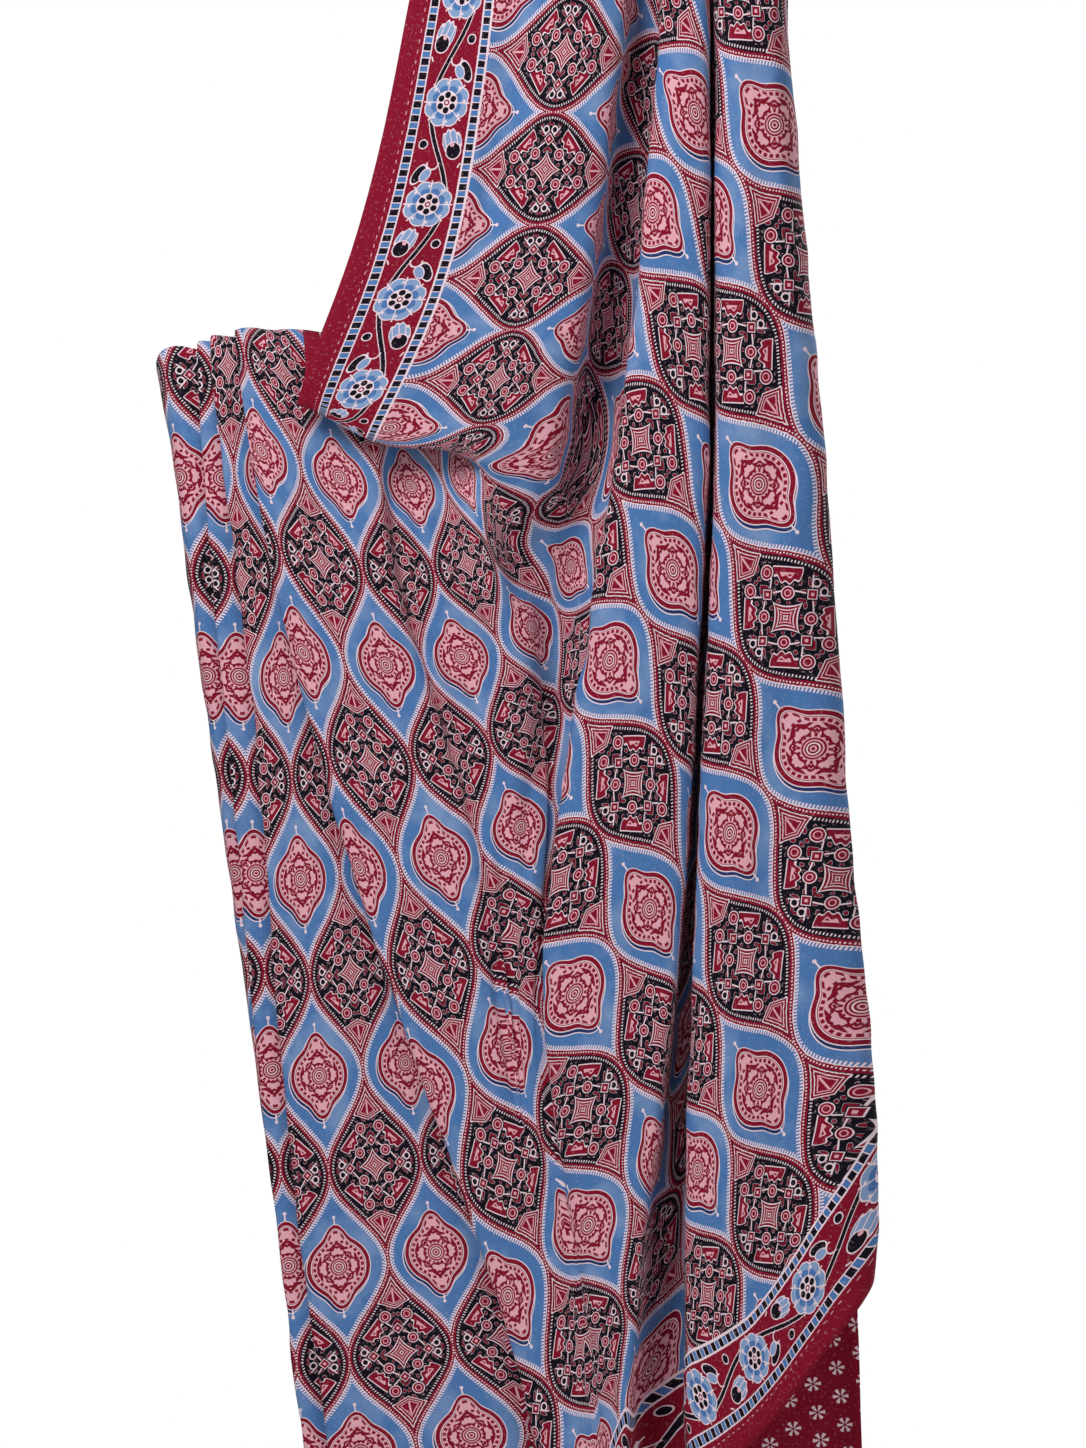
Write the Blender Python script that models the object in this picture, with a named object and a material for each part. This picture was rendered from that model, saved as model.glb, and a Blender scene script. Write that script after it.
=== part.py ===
# A long block-printed ajrakh cloth, hung in folds: narrow pleats on the left, a front panel that runs
# diagonally up to a shoulder fold at the top, a turned-under swag between them, and a plain inner end
# behind. The cloth is one sheet. It is measured in millimetres from the middle of the shoulder fold,
# right (+) and left (-), with "drop" counted down from that fold, and depth back (+) and forward (-).

import bmesh
import bpy
import numpy as np

MILLIMETRE = 0.001
CLOTH_THICKNESS = 1.6
CLOTH_COLOUR = (0.30, 0.07, 0.13, 1.0)
CLOTH_ROUGHNESS = 0.8
WAIST_DROP = 334
KNEE_DROP = 606
SHOULDER_FRONT_DROP = 14
SAMPLES_ACROSS_LEFT = 1
SAMPLES_ACROSS_RIGHT = 2

# Where the main edges and ridges run, across, at each drop.
LEFT_DROPS = (334, 430, 575, 713, 851, 1005, 1195, 1373)
FLAP_DROPS = (0, 84, 184, 284, 376, 426)
RIGHT_DROPS = (0, 84, 184, 284, 376, 445, 514, 606, 698, 798, 897, 1005, 1104, 1195, 1312)
PANEL_DROPS = (341, 445, 514, 575, 637, 698, 798, 897, 1005, 1104, 1195, 1312)
GUIDES = {
    "inner end": (LEFT_DROPS, (107, 117, 146, 169, 188, 198, 204, 210)),
    "left side": (LEFT_DROPS, (-341, -328, -309, -291, -270, -250, -226, -201)),
    "pleat one": (LEFT_DROPS, (-311, -306, -295, -280, -268, -253, -228, -202)),
    "pleat two": (LEFT_DROPS, (-300, -291, -273, -258, -250, -235, -209, -190)),
    "pleat three": (LEFT_DROPS, (-282, -270, -241, -203, -160, -103, -42, -31)),
    "tuck three": (LEFT_DROPS, (-256, -246, -221, -188, -150, -86, -17, -5)),
    "panel start": (PANEL_DROPS, (-228, -216, -202, -188, -173, -158, -130, -105, -70, -42, -20, -14)),
    "panel lip": (PANEL_DROPS, (-175, -169, -166, -148, -124, -106, -89, -78, -50, -28, -9, -4)),
    "panel end": (PANEL_DROPS, (-34, -46, -67, -50, -36, -38, -52, -60, -36, -17, -2, 3)),
    "flap edge": (FLAP_DROPS, (-130, -147, -164, -191, -228, -239)),
    "border line": (FLAP_DROPS, (-60, -77, -91, -105, -145, -173)),
    "flap middle": (FLAP_DROPS, (-12, -25, -38, -53, -79, -111)),
    "flap ridge": (FLAP_DROPS, (35, 23, 11, -6, -25, -36)),
    "front edge": (RIGHT_DROPS, (52, 47, 38, 27, 17, 8, -2, -20, -32, -47, -46, -21, -3, 6, 10)),
    "front crest": (RIGHT_DROPS, (69, 66, 60, 52, 46, 42, 37, 25, 12, -3, -4, 8, 11, 13, 15)),
    "groove left": (RIGHT_DROPS, (84, 84, 84, 84, 84, 83, 79, 74, 69, 63, 52, 40, 27, 23, 22)),
    "groove right": (RIGHT_DROPS, (90, 90, 90, 90, 90, 90, 87, 82, 78, 74, 70, 66, 65, 68, 71)),
    "right side": (RIGHT_DROPS, (147, 142, 151, 160, 168, 175, 179, 185, 190, 201, 212, 216, 209, 204, 199)),
}

# The inner end and the pleats, from the cloth's inner end round the left fold to the front panel:
# a fold line lies between two guides (share) plus a shift, with its depth at the waist turn and then
# at four drops, and its hem.
LEFT_DEPTH_DROPS = (342, 606, 900, 1373)
LEFT_LINES = (
    # name, from guide, to guide, share, shift, depths, hem drop
    ("inner hem end", "inner end", "left side", 0.00, 0, (60, 60, 58, 52, 48), 1350),
    ("inner ridge one", "inner end", "left side", 0.05, 0, (62, 62, 60, 58, 60), 1350),
    ("inner valley one", "inner end", "left side", 0.16, 0, (60, 60, 56, 46, 42), 1352),
    ("inner ridge two", "inner end", "left side", 0.28, 0, (62, 62, 62, 62, 64), 1354),
    ("inner valley two", "inner end", "left side", 0.42, 0, (60, 60, 56, 48, 44), 1356),
    ("inner ridge three", "inner end", "left side", 0.56, 0, (62, 62, 62, 64, 66), 1360),
    ("inner valley three", "inner end", "left side", 0.70, 0, (60, 60, 56, 50, 46), 1362),
    ("inner ridge four", "inner end", "left side", 0.84, 0, (61, 61, 60, 60, 62), 1366),
    ("inner left", "inner end", "left side", 0.95, 0, (58, 58, 56, 52, 52), 1368),
    ("left fold back", "left side", "left side", 0.0, 2, (42, 42, 38, 38, 38), 1370),
    ("left fold", "left side", "left side", 0.0, -4, (20, 20, 19, 20, 22), 1372),
    ("left fold front", "left side", "left side", 0.0, 0, (14, 2, 4, 9, 11), 1373),
    ("strip one", "left side", "pleat one", 0.55, 0, (14, -2, 0, 7, 9), 1373),
    ("tuck one turn", "pleat one", "pleat one", 0.0, 17, (14, 7, 8, 12, 13), 1373),
    ("tuck one back", "pleat one", "pleat one", 0.0, 15, (14, 2, 3, 7, 7), 1373),
    ("pleat one lip", "pleat one", "pleat one", 0.0, -3, (14, -3, -2, 1, 1), 1373),
    ("pleat one face", "pleat one", "pleat one", 0.0, 1, (14, -8, -7, -6, -6), 1373),
    ("tuck two turn", "pleat two", "pleat two", 0.0, 17, (14, 2, 2, 2, 2), 1373),
    ("tuck two back", "pleat two", "pleat two", 0.0, 15, (14, -3, -3, -3, -3), 1373),
    ("pleat two lip", "pleat two", "pleat two", 0.0, -3, (14, -8, -8, -8, -8), 1373),
    ("pleat two face", "pleat two", "pleat two", 0.0, 1, (14, -13, -13, -13, -13), 1373),
    ("tuck three turn", "tuck three", "tuck three", 0.0, 0, (14, -3, -3, 2, 6), 1373),
    ("tuck three back", "tuck three", "tuck three", 0.0, -3, (14, -8, -8, -3, 1), 1372),
    ("pleat three lip", "pleat three", "pleat three", 0.0, -3, (14, -13, -13, -12, -12), 1371),
    ("pleat three face", "pleat three", "pleat three", 0.0, 1, (14, -18, -18, -19, -20), 1370),
    ("panel left", "pleat three", "panel start", 0.6, 0, (14, -17, -18, -20, -21), 1368),
)
FIRST_PLEAT_LINE = "strip one"

# The front panel, the flap and the shoulder folds. Each line has a place on the flap and one on the
# panel below it; "swag" says how far it turns under at the flap's lower edge (1 fully, 0 not at all).
FLAP_DEPTH_DROPS = (84, 284, 400)
PANEL_DEPTH_DROPS = (514, 698, 900, 1200)
RIGHT_LINES = (
    # name, flap guides, share, shift, panel guides, share, shift, swag, swag drop, turn drop,
    # depths on the flap, depths on the panel, hem drop
    ("selvedge", "flap edge", "border line", 0.0, 0, "panel start", "panel lip", 0.0, 0,
     1.0, 396, 337, (-33, -37, -43), (-17, -17, -19, -20), 1366),
    ("vine left", "flap edge", "border line", 0.33, 0, "panel start", "panel lip", 0.34, 0,
     1.0, 405, 340, (-35, -38, -42), (-17, -17, -19, -20), 1364),
    ("vine right", "flap edge", "border line", 0.66, 0, "panel start", "panel lip", 0.68, 0,
     1.0, 418, 345, (-36, -38, -40), (-18, -18, -20, -20), 1362),
    ("panel lip left", "border line", "flap middle", 0.0, 0, "panel lip", "panel lip", 0.0, -3,
     1.0, 425, 356, (-34, -36, -39), (-18, -18, -20, -20), 1360),
    ("panel lip", "border line", "flap middle", 0.15, 0, "panel lip", "panel lip", 0.0, 2,
     1.0, 427, 360, (-32, -34, -38), (-14, -15, -20, -20), 1358),
    ("swag valley one", "border line", "flap middle", 0.32, 0, "panel lip", "panel lip", 0.0, 7,
     1.0, 429, 368, (-31, -34, -38), (4, -6, -19, -20), 1357),
    ("swag ridge one", "border line", "flap middle", 0.55, 0, "panel lip", "panel end", 0.28, 0,
     0.9, 433, 385, (-33, -36, -39), (-20, -21, -21, -20), 1356),
    ("swag valley two", "border line", "flap middle", 0.78, 0, "panel lip", "panel end", 0.42, 0,
     0.75, 437, 398, (-36, -38, -40), (-7, -12, -20, -20), 1354),
    ("swag ridge two", "flap middle", "flap ridge", 0.0, 0, "panel lip", "panel end", 0.60, 0,
     0.55, 441, 412, (-38, -40, -42), (-26, -23, -21, -20), 1352),
    ("swag face", "flap middle", "flap ridge", 0.33, 0, "panel lip", "panel end", 0.76, 0,
     0.3, 443, 425, (-38, -40, -42), (-30, -24, -20, -20), 1350),
    ("swag right", "flap middle", "flap ridge", 0.66, 0, "panel lip", "panel end", 0.90, 0,
     0.1, 445, 440, (-36, -38, -40), (-26, -22, -20, -20), 1347),
    ("flap crest", "flap ridge", "flap ridge", 0.0, 0, "panel end", "panel end", 0.0, 0,
     0.0, 445, 440, (-32, -34, -36), (-16, -17, -19, -20), 1344),
    ("flap lip", "flap ridge", "flap ridge", 0.0, 4, "panel end", "front edge", 0.12, 4,
     0.0, 445, 440, (-20, -22, -22), (-8, -13, -18, -20), 1340),
    ("valley left", "flap ridge", "front edge", 0.25, 0, "panel end", "front edge", 0.35, 0,
     0.0, 445, 440, (3, 12, 12), (2, -9, -17, -20), 1338),
    ("valley right", "flap ridge", "front edge", 0.75, 6, "panel end", "front edge", 0.75, 12,
     0.0, 445, 440, (4, 14, 14), (2, -6, -17, -21), 1334),
    ("front under", "front edge", "front edge", 0.0, 6, "front edge", "front crest", -0.15, 16,
     0.0, 445, 440, (-4, -4, -5), (-8, -13, -20, -22), 1328),
    ("front edge", "front edge", "front edge", 0.0, -3, "front edge", "front edge", 0.0, -3,
     0.0, 445, 440, (-22, -26, -28), (-24, -26, -24, -23), 1324),
    ("front face", "front edge", "front crest", 0.2, 0, "front edge", "front crest", 0.2, 0,
     0.0, 445, 440, (-30, -33, -34), (-34, -35, -29, -25), 1318),
    ("front crest", "front crest", "front crest", 0.0, 0, "front crest", "front crest", 0.0, 0,
     0.0, 445, 440, (-35, -38, -38), (-39, -39, -36, -30), 1308),
    ("groove left face", "groove left", "groove left", 0.0, -5, "groove left", "groove left", 0.0, -6,
     0.0, 445, 440, (-33, -35, -35), (-36, -38, -39, -38), 1292),
    ("groove left lip", "groove left", "groove left", 0.0, 1, "groove left", "groove left", 0.0, 1,
     0.0, 445, 440, (-24, -26, -26), (-26, -28, -30, -30), 1286),
    ("groove floor left", "groove left", "groove left", 0.0, 1, "groove left", "groove left", 0.0, 3,
     0.0, 445, 440, (6, 20, 22), (22, 22, 24, 22), 1272),
    ("groove floor right", "groove right", "groove right", 0.0, 1, "groove right", "groove right", 0.0, 8,
     0.0, 445, 440, (6, 20, 22), (22, 22, 22, 20), 1246),
    ("groove right lip", "groove right", "groove right", 0.0, -1, "groove right", "groove right", 0.0, -2,
     0.0, 445, 440, (-22, -24, -24), (-24, -26, -28, -28), 1232),
    ("groove right face", "groove right", "groove right", 0.0, 4, "groove right", "groove right", 0.0, 3,
     0.0, 445, 440, (-30, -32, -32), (-32, -34, -36, -37), 1224),
    ("right ridge one", "groove right", "right side", 0.30, 0, "groove right", "right side", 0.28, 0,
     0.0, 445, 440, (-35, -37, -37), (-38, -38, -37, -36), 1203),
    ("right dip", "groove right", "right side", 0.52, 0, "groove right", "right side", 0.50, 0,
     0.0, 445, 440, (-31, -32, -33), (-34, -33, -32, -31), 1170),
    ("right ridge two", "groove right", "right side", 0.76, 0, "groove right", "right side", 0.75, 0,
     0.0, 445, 440, (-31, -32, -33), (-34, -33, -32, -31), 1120),
    ("right front", "right side", "right side", 0.0, -5, "right side", "right side", 0.0, -6,
     0.0, 445, 440, (-20, -20, -21), (-22, -21, -20, -19), 1082),
    ("right fold", "right side", "right side", 0.0, 2, "right side", "right side", 0.0, 2,
     0.0, 445, 440, (-2, -2, -2), (-2, -2, -2, -2), 1066),
    ("right back", "right side", "right side", 0.0, -5, "right side", "right side", 0.0, -6,
     0.0, 445, 440, (6, 15, 16), (16, 16, 16, 16), 1052),
    ("return middle", "groove right", "right side", 0.72, 0, "groove right", "right side", 0.72, 0,
     0.0, 445, 440, (6, 26, 28), (28, 28, 29, 30), 1024),
    ("return end", "groove right", "right side", 0.40, 0, "groove right", "right side", 0.42, 0,
     0.0, 445, 440, (4, 30, 33), (33, 33, 34, 34), 990),
)
LAST_SHOULDER_LINE = "right fold"

# Rows of the shoulder and the tail that hangs behind it: drop, depth, and how much of a fold is left.
SHOULDER_ROWS = (
    # drop, depth, share of the front fold depth kept, share kept as a shallow fold behind
    (300, 62, 0.0, 0.22),
    (240, 62, 0.0, 0.20),
    (165, 61, 0.0, 0.16),
    (85, 60, 0.0, 0.12),
    (SHOULDER_FRONT_DROP, 54, 0.0, 0.06),
    (-7, 18, 0.0, 0.03),
    (SHOULDER_FRONT_DROP, 0, 0.62, 0.0),
)
UPPER_DROPS = (84, 184, 284)
# Drops of the rows from above the swag to the knee, for a line that turns under and one that hangs straight.
SWAG_ROWS_STRAIGHT = (340, 376, 405, 432, 458, 484, 502, 524, 562, KNEE_DROP)
SWAG_DEPTH_STEPS = (0.0, 0.0, 4.5, 9.0, 9.0)
TURN_AHEAD_OF_PANEL = 1
PANEL_SHARE = (0.0, 0.0, 0.05, 0.2, 0.6, 1.0, 1.0, 1.0, 1.0, 1.0)
HEM_SHARES = (1 / 7, 2 / 7, 3 / 7, 4 / 7, 5 / 7, 6 / 7, 1.0)
LEFT_ROW_DROPS = (WAIST_DROP, 342, 430, 514, KNEE_DROP)
PLEAT_FRONT_DEPTH = -18
NESTING = 0.8
SHOULDER_SPREAD = 0.4
SHIFT_FADE_DROPS = (800, 1000)
SHIFT_KEPT = {"panel start": 0.0, "panel lip": 0.25, "panel end": 0.0, "front edge": 0.0}
# The top of the pleats is turned over to the back: how far each row hangs below the turn.
TUCK_FLAP_DROPS = (96, 62, 30, 9)
TUCK_FLAP_GAP = 6


def spline(values, places):
    """Uniform cubic B-spline over the first axis: each point is a weighted mean of four neighbours."""
    padded = np.concatenate([2 * values[:1] - values[1:2], values, 2 * values[-1:] - values[-2:-1]])
    first = np.clip(np.floor(places).astype(int), 0, len(values) - 2)
    part = (places - first).reshape(-1, *([1] * (values.ndim - 1)))
    weights = (
        (1 - part) ** 3,
        3 * part ** 3 - 6 * part ** 2 + 4,
        -3 * part ** 3 + 3 * part ** 2 + 3 * part + 1,
        part ** 3,
    )
    return sum(weight * padded[first + step] for step, weight in enumerate(weights)) / 6


def across(guide_a, guide_b, share, shift, drops):
    """The place across of a line that lies a share of the way from one guide to another."""
    a = np.interp(drops, *GUIDES[guide_a])
    b = np.interp(drops, *GUIDES[guide_b])
    return a + (b - a) * share + shift


def fading_shift(guide, shift, drops):
    """A fold's overlap, which dies out toward the hem on the panel's own folds."""
    return shift * np.interp(drops, SHIFT_FADE_DROPS, (1.0, SHIFT_KEPT.get(guide, 1.0)))


def hem_rows(hem):
    return [KNEE_DROP + (hem - KNEE_DROP) * share for share in HEM_SHARES]


def left_control(line):
    """Control points of one left line, from the waist turn to the hem: rows of across, depth, drop."""
    name, guide_a, guide_b, share, shift, depths, hem = line
    drops = np.array([*LEFT_ROW_DROPS, *hem_rows(hem)], dtype=float)
    depth = np.interp(drops, LEFT_DEPTH_DROPS, depths[1:])
    depth[0] = depths[0]
    x = across(guide_a, guide_b, share, shift, drops)
    drops[:2] += (depth[1] - PLEAT_FRONT_DEPTH) * NESTING
    return np.stack([x, depth, drops], axis=1)


def shoulder_place(line):
    """Where a line crosses the shoulder: its place on the flap, spread some way to even spacing."""
    natural = across(line[1], line[2], line[3], 0, 0)
    last = [name_line[0] for name_line in RIGHT_LINES].index(LAST_SHOULDER_LINE)
    left_side = GUIDES["flap edge"][1][0]
    right_side = GUIDES["right side"][1][0]
    even = left_side + (right_side - left_side) * RIGHT_LINES.index(line) / last
    return natural + (even - natural) * SHOULDER_SPREAD


def right_control(line):
    """Control points of one shoulder line, from the tail's end over the shoulder down to the hem."""
    (name, flap_a, flap_b, flap_share, flap_shift, panel_a, panel_b, panel_share, panel_shift,
     swag, swag_drop, turn_drop, flap_depths, panel_depths, hem) = line
    top_depth = flap_depths[0]
    mean_depth = -25
    rows = []
    for drop, depth, kept, behind in SHOULDER_ROWS:
        x = shoulder_place(line)
        rows.append((x, depth + kept * top_depth - behind * (top_depth - mean_depth), drop))
    for drop in UPPER_DROPS:
        x = across(flap_a, flap_b, flap_share, flap_shift, drop)
        rows.append((x, np.interp(drop, FLAP_DEPTH_DROPS, flap_depths), drop))
    turned = np.array([swag_drop - 55, swag_drop - 12, swag_drop + 4, swag_drop - 8,
                       (swag_drop + turn_drop) / 2, turn_drop, turn_drop + 8, 445, 514, KNEE_DROP])
    drops = swag * turned + (1 - swag) * np.array(SWAG_ROWS_STRAIGHT)
    flap_x = across(flap_a, flap_b, flap_share, flap_shift, drops)
    shift = fading_shift(panel_a, panel_shift, drops)
    panel_x = across(panel_a, panel_b, panel_share, shift, drops)
    to_panel = np.array(PANEL_SHARE)
    x = flap_x + (panel_x - flap_x) * to_panel
    flap_depth = np.interp(drops, FLAP_DEPTH_DROPS, flap_depths)
    panel_depth = np.interp(drops, PANEL_DEPTH_DROPS, panel_depths)
    straight = flap_depth + (panel_depth - flap_depth) * to_panel
    turned_depth = panel_depth.copy()
    turned_depth[:5] = flap_depths[-1] + np.array(SWAG_DEPTH_STEPS)
    turned_depth[5] = panel_depth[5] - TURN_AHEAD_OF_PANEL
    depth = swag * turned_depth + (1 - swag) * straight
    rows.extend(zip(x, depth, drops))
    for drop in hem_rows(hem):
        shift = fading_shift(panel_a, panel_shift, drop)
        x = across(panel_a, panel_b, panel_share, shift, drop)
        rows.append((x, np.interp(drop, PANEL_DEPTH_DROPS, panel_depths), drop))
    return np.array(rows, dtype=float)


TURN_ROW = len(SHOULDER_ROWS) + len(UPPER_DROPS) + 5
FIRST_FRONT_ROW = len(SHOULDER_ROWS) - 1


def control_net():
    """The control points of the left lines (waist turn to hem) and of the right lines (tail to hem)."""
    left = np.array([left_control(line) for line in LEFT_LINES])
    right = np.array([right_control(line) for line in RIGHT_LINES])
    return left, right


def swag_share(places):
    """How much of a sharp turn the hidden fold has at each place across: all of it on the flap."""
    values = np.array([min(1.0, line[9] * 4) for line in RIGHT_LINES])
    return np.interp(places, np.arange(len(values)), values)


def right_surface(left, right, across_places, upper_places, lower_places):
    """The shoulder and front panel: rows over the tail and flap, then rows from the turn to the hem."""
    whole = np.concatenate([left, right[:, TURN_ROW:]])
    lower_lines = spline(whole, across_places + len(left))
    upper_lines = spline(right[:, :TURN_ROW + 1], across_places)
    upper_lines[:, TURN_ROW] = lower_lines[:, 0]
    all_lines = np.concatenate([upper_lines, lower_lines[:, 1:]], axis=1)
    down = all_lines.transpose(1, 0, 2)
    smooth_upper = spline(down, upper_places)
    smooth_lower = spline(down, lower_places + TURN_ROW)
    sharp_upper = spline(down[:TURN_ROW + 1], upper_places)
    sharp_lower = spline(down[TURN_ROW:], lower_places)
    share = swag_share(across_places)[None, :, None]
    upper = share * sharp_upper + (1 - share) * smooth_upper
    lower = share * sharp_lower + (1 - share) * smooth_lower
    return upper, lower


def left_surface(left, right, across_places, lower_places):
    """The inner end, the pleats and the panel's left part, from the waist turn down to the hem."""
    whole = np.concatenate([left, right[:, TURN_ROW:]])
    down = spline(whole, across_places).transpose(1, 0, 2)
    return spline(down, lower_places)


def tuck_flap(left, right, across_places, waist_row):
    """The top of the pleats turned over to the back, in mirrored order so that the folds nest."""
    rows = []
    for drop in TUCK_FLAP_DROPS:
        place = 1 + (drop - TUCK_FLAP_DROPS[-1]) / (LEFT_ROW_DROPS[2] - LEFT_ROW_DROPS[1])
        front = left_surface(left, right, across_places, np.array([place]))[0]
        depth = 2 * waist_row[:, 1] - front[:, 1] + TUCK_FLAP_GAP
        rows.append(np.stack([front[:, 0], depth, waist_row[:, 2] + drop], axis=1))
    rows.append(waist_row)
    return np.array(rows)


def add_grid(points, faces, grid, skip=None):
    """Adds a grid of points and its four-sided faces, and leaves out the faces that skip names."""
    rows, columns = grid.shape[:2]
    start = sum(len(block) for block in points)
    points.append(grid.reshape(-1, 3))
    number = start + np.arange(rows * columns).reshape(rows, columns)
    quads = np.stack([number[:-1, :-1], number[1:, :-1], number[1:, 1:], number[:-1, 1:]], axis=2)
    kept = np.ones(quads.shape[:2], dtype=bool) if skip is None else ~skip
    faces.append(quads[kept])


def cloth_mesh():
    """Builds the middle surface of the whole sheet and welds the parts where they join."""
    left, right = control_net()
    line_names = [line[0] for line in LEFT_LINES]
    right_names = [line[0] for line in RIGHT_LINES]
    first_pleat = line_names.index(FIRST_PLEAT_LINE)
    last_shoulder = right_names.index(LAST_SHOULDER_LINE)
    left_across = np.linspace(0, len(left), SAMPLES_ACROSS_LEFT * len(left) + 1)
    right_across = np.linspace(0, len(right) - 1, SAMPLES_ACROSS_RIGHT * (len(right) - 1) + 1)
    upper_down = np.arange(TURN_ROW + 1, dtype=float)
    lower_rows = right.shape[1] - TURN_ROW - 1
    lower_down = np.arange(lower_rows + 1, dtype=float)

    upper, lower = right_surface(left, right, right_across, upper_down, lower_down)
    pleats = left_surface(left, right, left_across, lower_down)
    first_column = first_pleat * SAMPLES_ACROSS_LEFT
    tucked = slice(first_column, -1)
    flap = tuck_flap(left, right, left_across[tucked], pleats[0, tucked])

    points, faces = [], []
    rows_up, columns_up = upper.shape[0] - 1, upper.shape[1] - 1
    behind = np.zeros((rows_up, columns_up), dtype=bool)
    behind[:FIRST_FRONT_ROW, last_shoulder * SAMPLES_ACROSS_RIGHT:] = True
    add_grid(points, faces, upper, behind)
    add_grid(points, faces, lower)
    add_grid(points, faces, pleats)
    add_grid(points, faces, flap)

    corners = np.concatenate(points)
    place = np.stack([corners[:, 0], corners[:, 1], -corners[:, 2]], axis=1) * MILLIMETRE
    mesh = bpy.data.meshes.new("ajrakh_cloth")
    mesh.from_pydata(place.tolist(), [], np.concatenate(faces).tolist())
    weld(mesh)
    return mesh


def weld(mesh):
    """Joins the parts' shared edges and drops the points that no face uses."""
    cloth = bmesh.new()
    cloth.from_mesh(mesh)
    loose = [vertex for vertex in cloth.verts if not vertex.link_faces]
    bmesh.ops.delete(cloth, geom=loose, context="VERTS")
    bmesh.ops.remove_doubles(cloth, verts=cloth.verts, dist=1e-6)
    bmesh.ops.recalc_face_normals(cloth, faces=cloth.faces)
    cloth.to_mesh(mesh)
    cloth.free()


def cloth_material():
    material = bpy.data.materials.new("printed_cloth")
    material.use_nodes = True
    shader = material.node_tree.nodes["Principled BSDF"]
    shader.inputs["Base Color"].default_value = CLOTH_COLOUR
    shader.inputs["Roughness"].default_value = CLOTH_ROUGHNESS
    shader.inputs["Metallic"].default_value = 0.0
    return material


def build():
    for thing in list(bpy.data.objects):
        bpy.data.objects.remove(thing)
    cloth = bpy.data.objects.new("ajrakh_cloth", cloth_mesh())
    bpy.context.scene.collection.objects.link(cloth)
    cloth.data.materials.append(cloth_material())
    thickness = cloth.modifiers.new("cloth thickness", "SOLIDIFY")
    thickness.thickness = CLOTH_THICKNESS * MILLIMETRE
    thickness.offset = 0.0
    thickness.use_even_offset = False
    thickness.use_quality_normals = True


build()
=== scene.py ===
import math
from functools import partialmethod

import bpy
import numpy as np
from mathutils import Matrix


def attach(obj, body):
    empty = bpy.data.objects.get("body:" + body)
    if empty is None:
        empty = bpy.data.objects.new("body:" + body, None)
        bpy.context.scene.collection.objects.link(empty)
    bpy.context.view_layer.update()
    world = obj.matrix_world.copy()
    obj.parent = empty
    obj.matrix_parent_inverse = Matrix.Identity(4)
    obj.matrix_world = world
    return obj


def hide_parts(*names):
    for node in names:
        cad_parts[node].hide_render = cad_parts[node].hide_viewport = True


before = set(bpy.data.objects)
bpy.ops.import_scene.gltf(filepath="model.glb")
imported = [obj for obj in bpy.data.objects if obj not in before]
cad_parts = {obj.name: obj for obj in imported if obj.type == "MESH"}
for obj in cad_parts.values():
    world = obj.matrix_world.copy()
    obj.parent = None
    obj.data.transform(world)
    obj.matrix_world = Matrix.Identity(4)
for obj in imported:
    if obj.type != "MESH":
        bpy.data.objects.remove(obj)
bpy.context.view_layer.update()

# Everything about the cloth's folds is in millimetres from the middle of the shoulder fold: across to the
# right (+) or left (-), depth back (+) or forward (-), and drop down from the fold.
millimetre = 0.001
leftDrops = (334, 430, 575, 713, 851, 1005, 1195, 1373)
flapDrops = (0, 84, 184, 284, 376, 426)
rightDrops = (0, 84, 184, 284, 376, 445, 514, 606, 698, 798, 897, 1005, 1104, 1195, 1312)
panelDrops = (341, 445, 514, 575, 637, 698, 798, 897, 1005, 1104, 1195, 1312)

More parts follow.
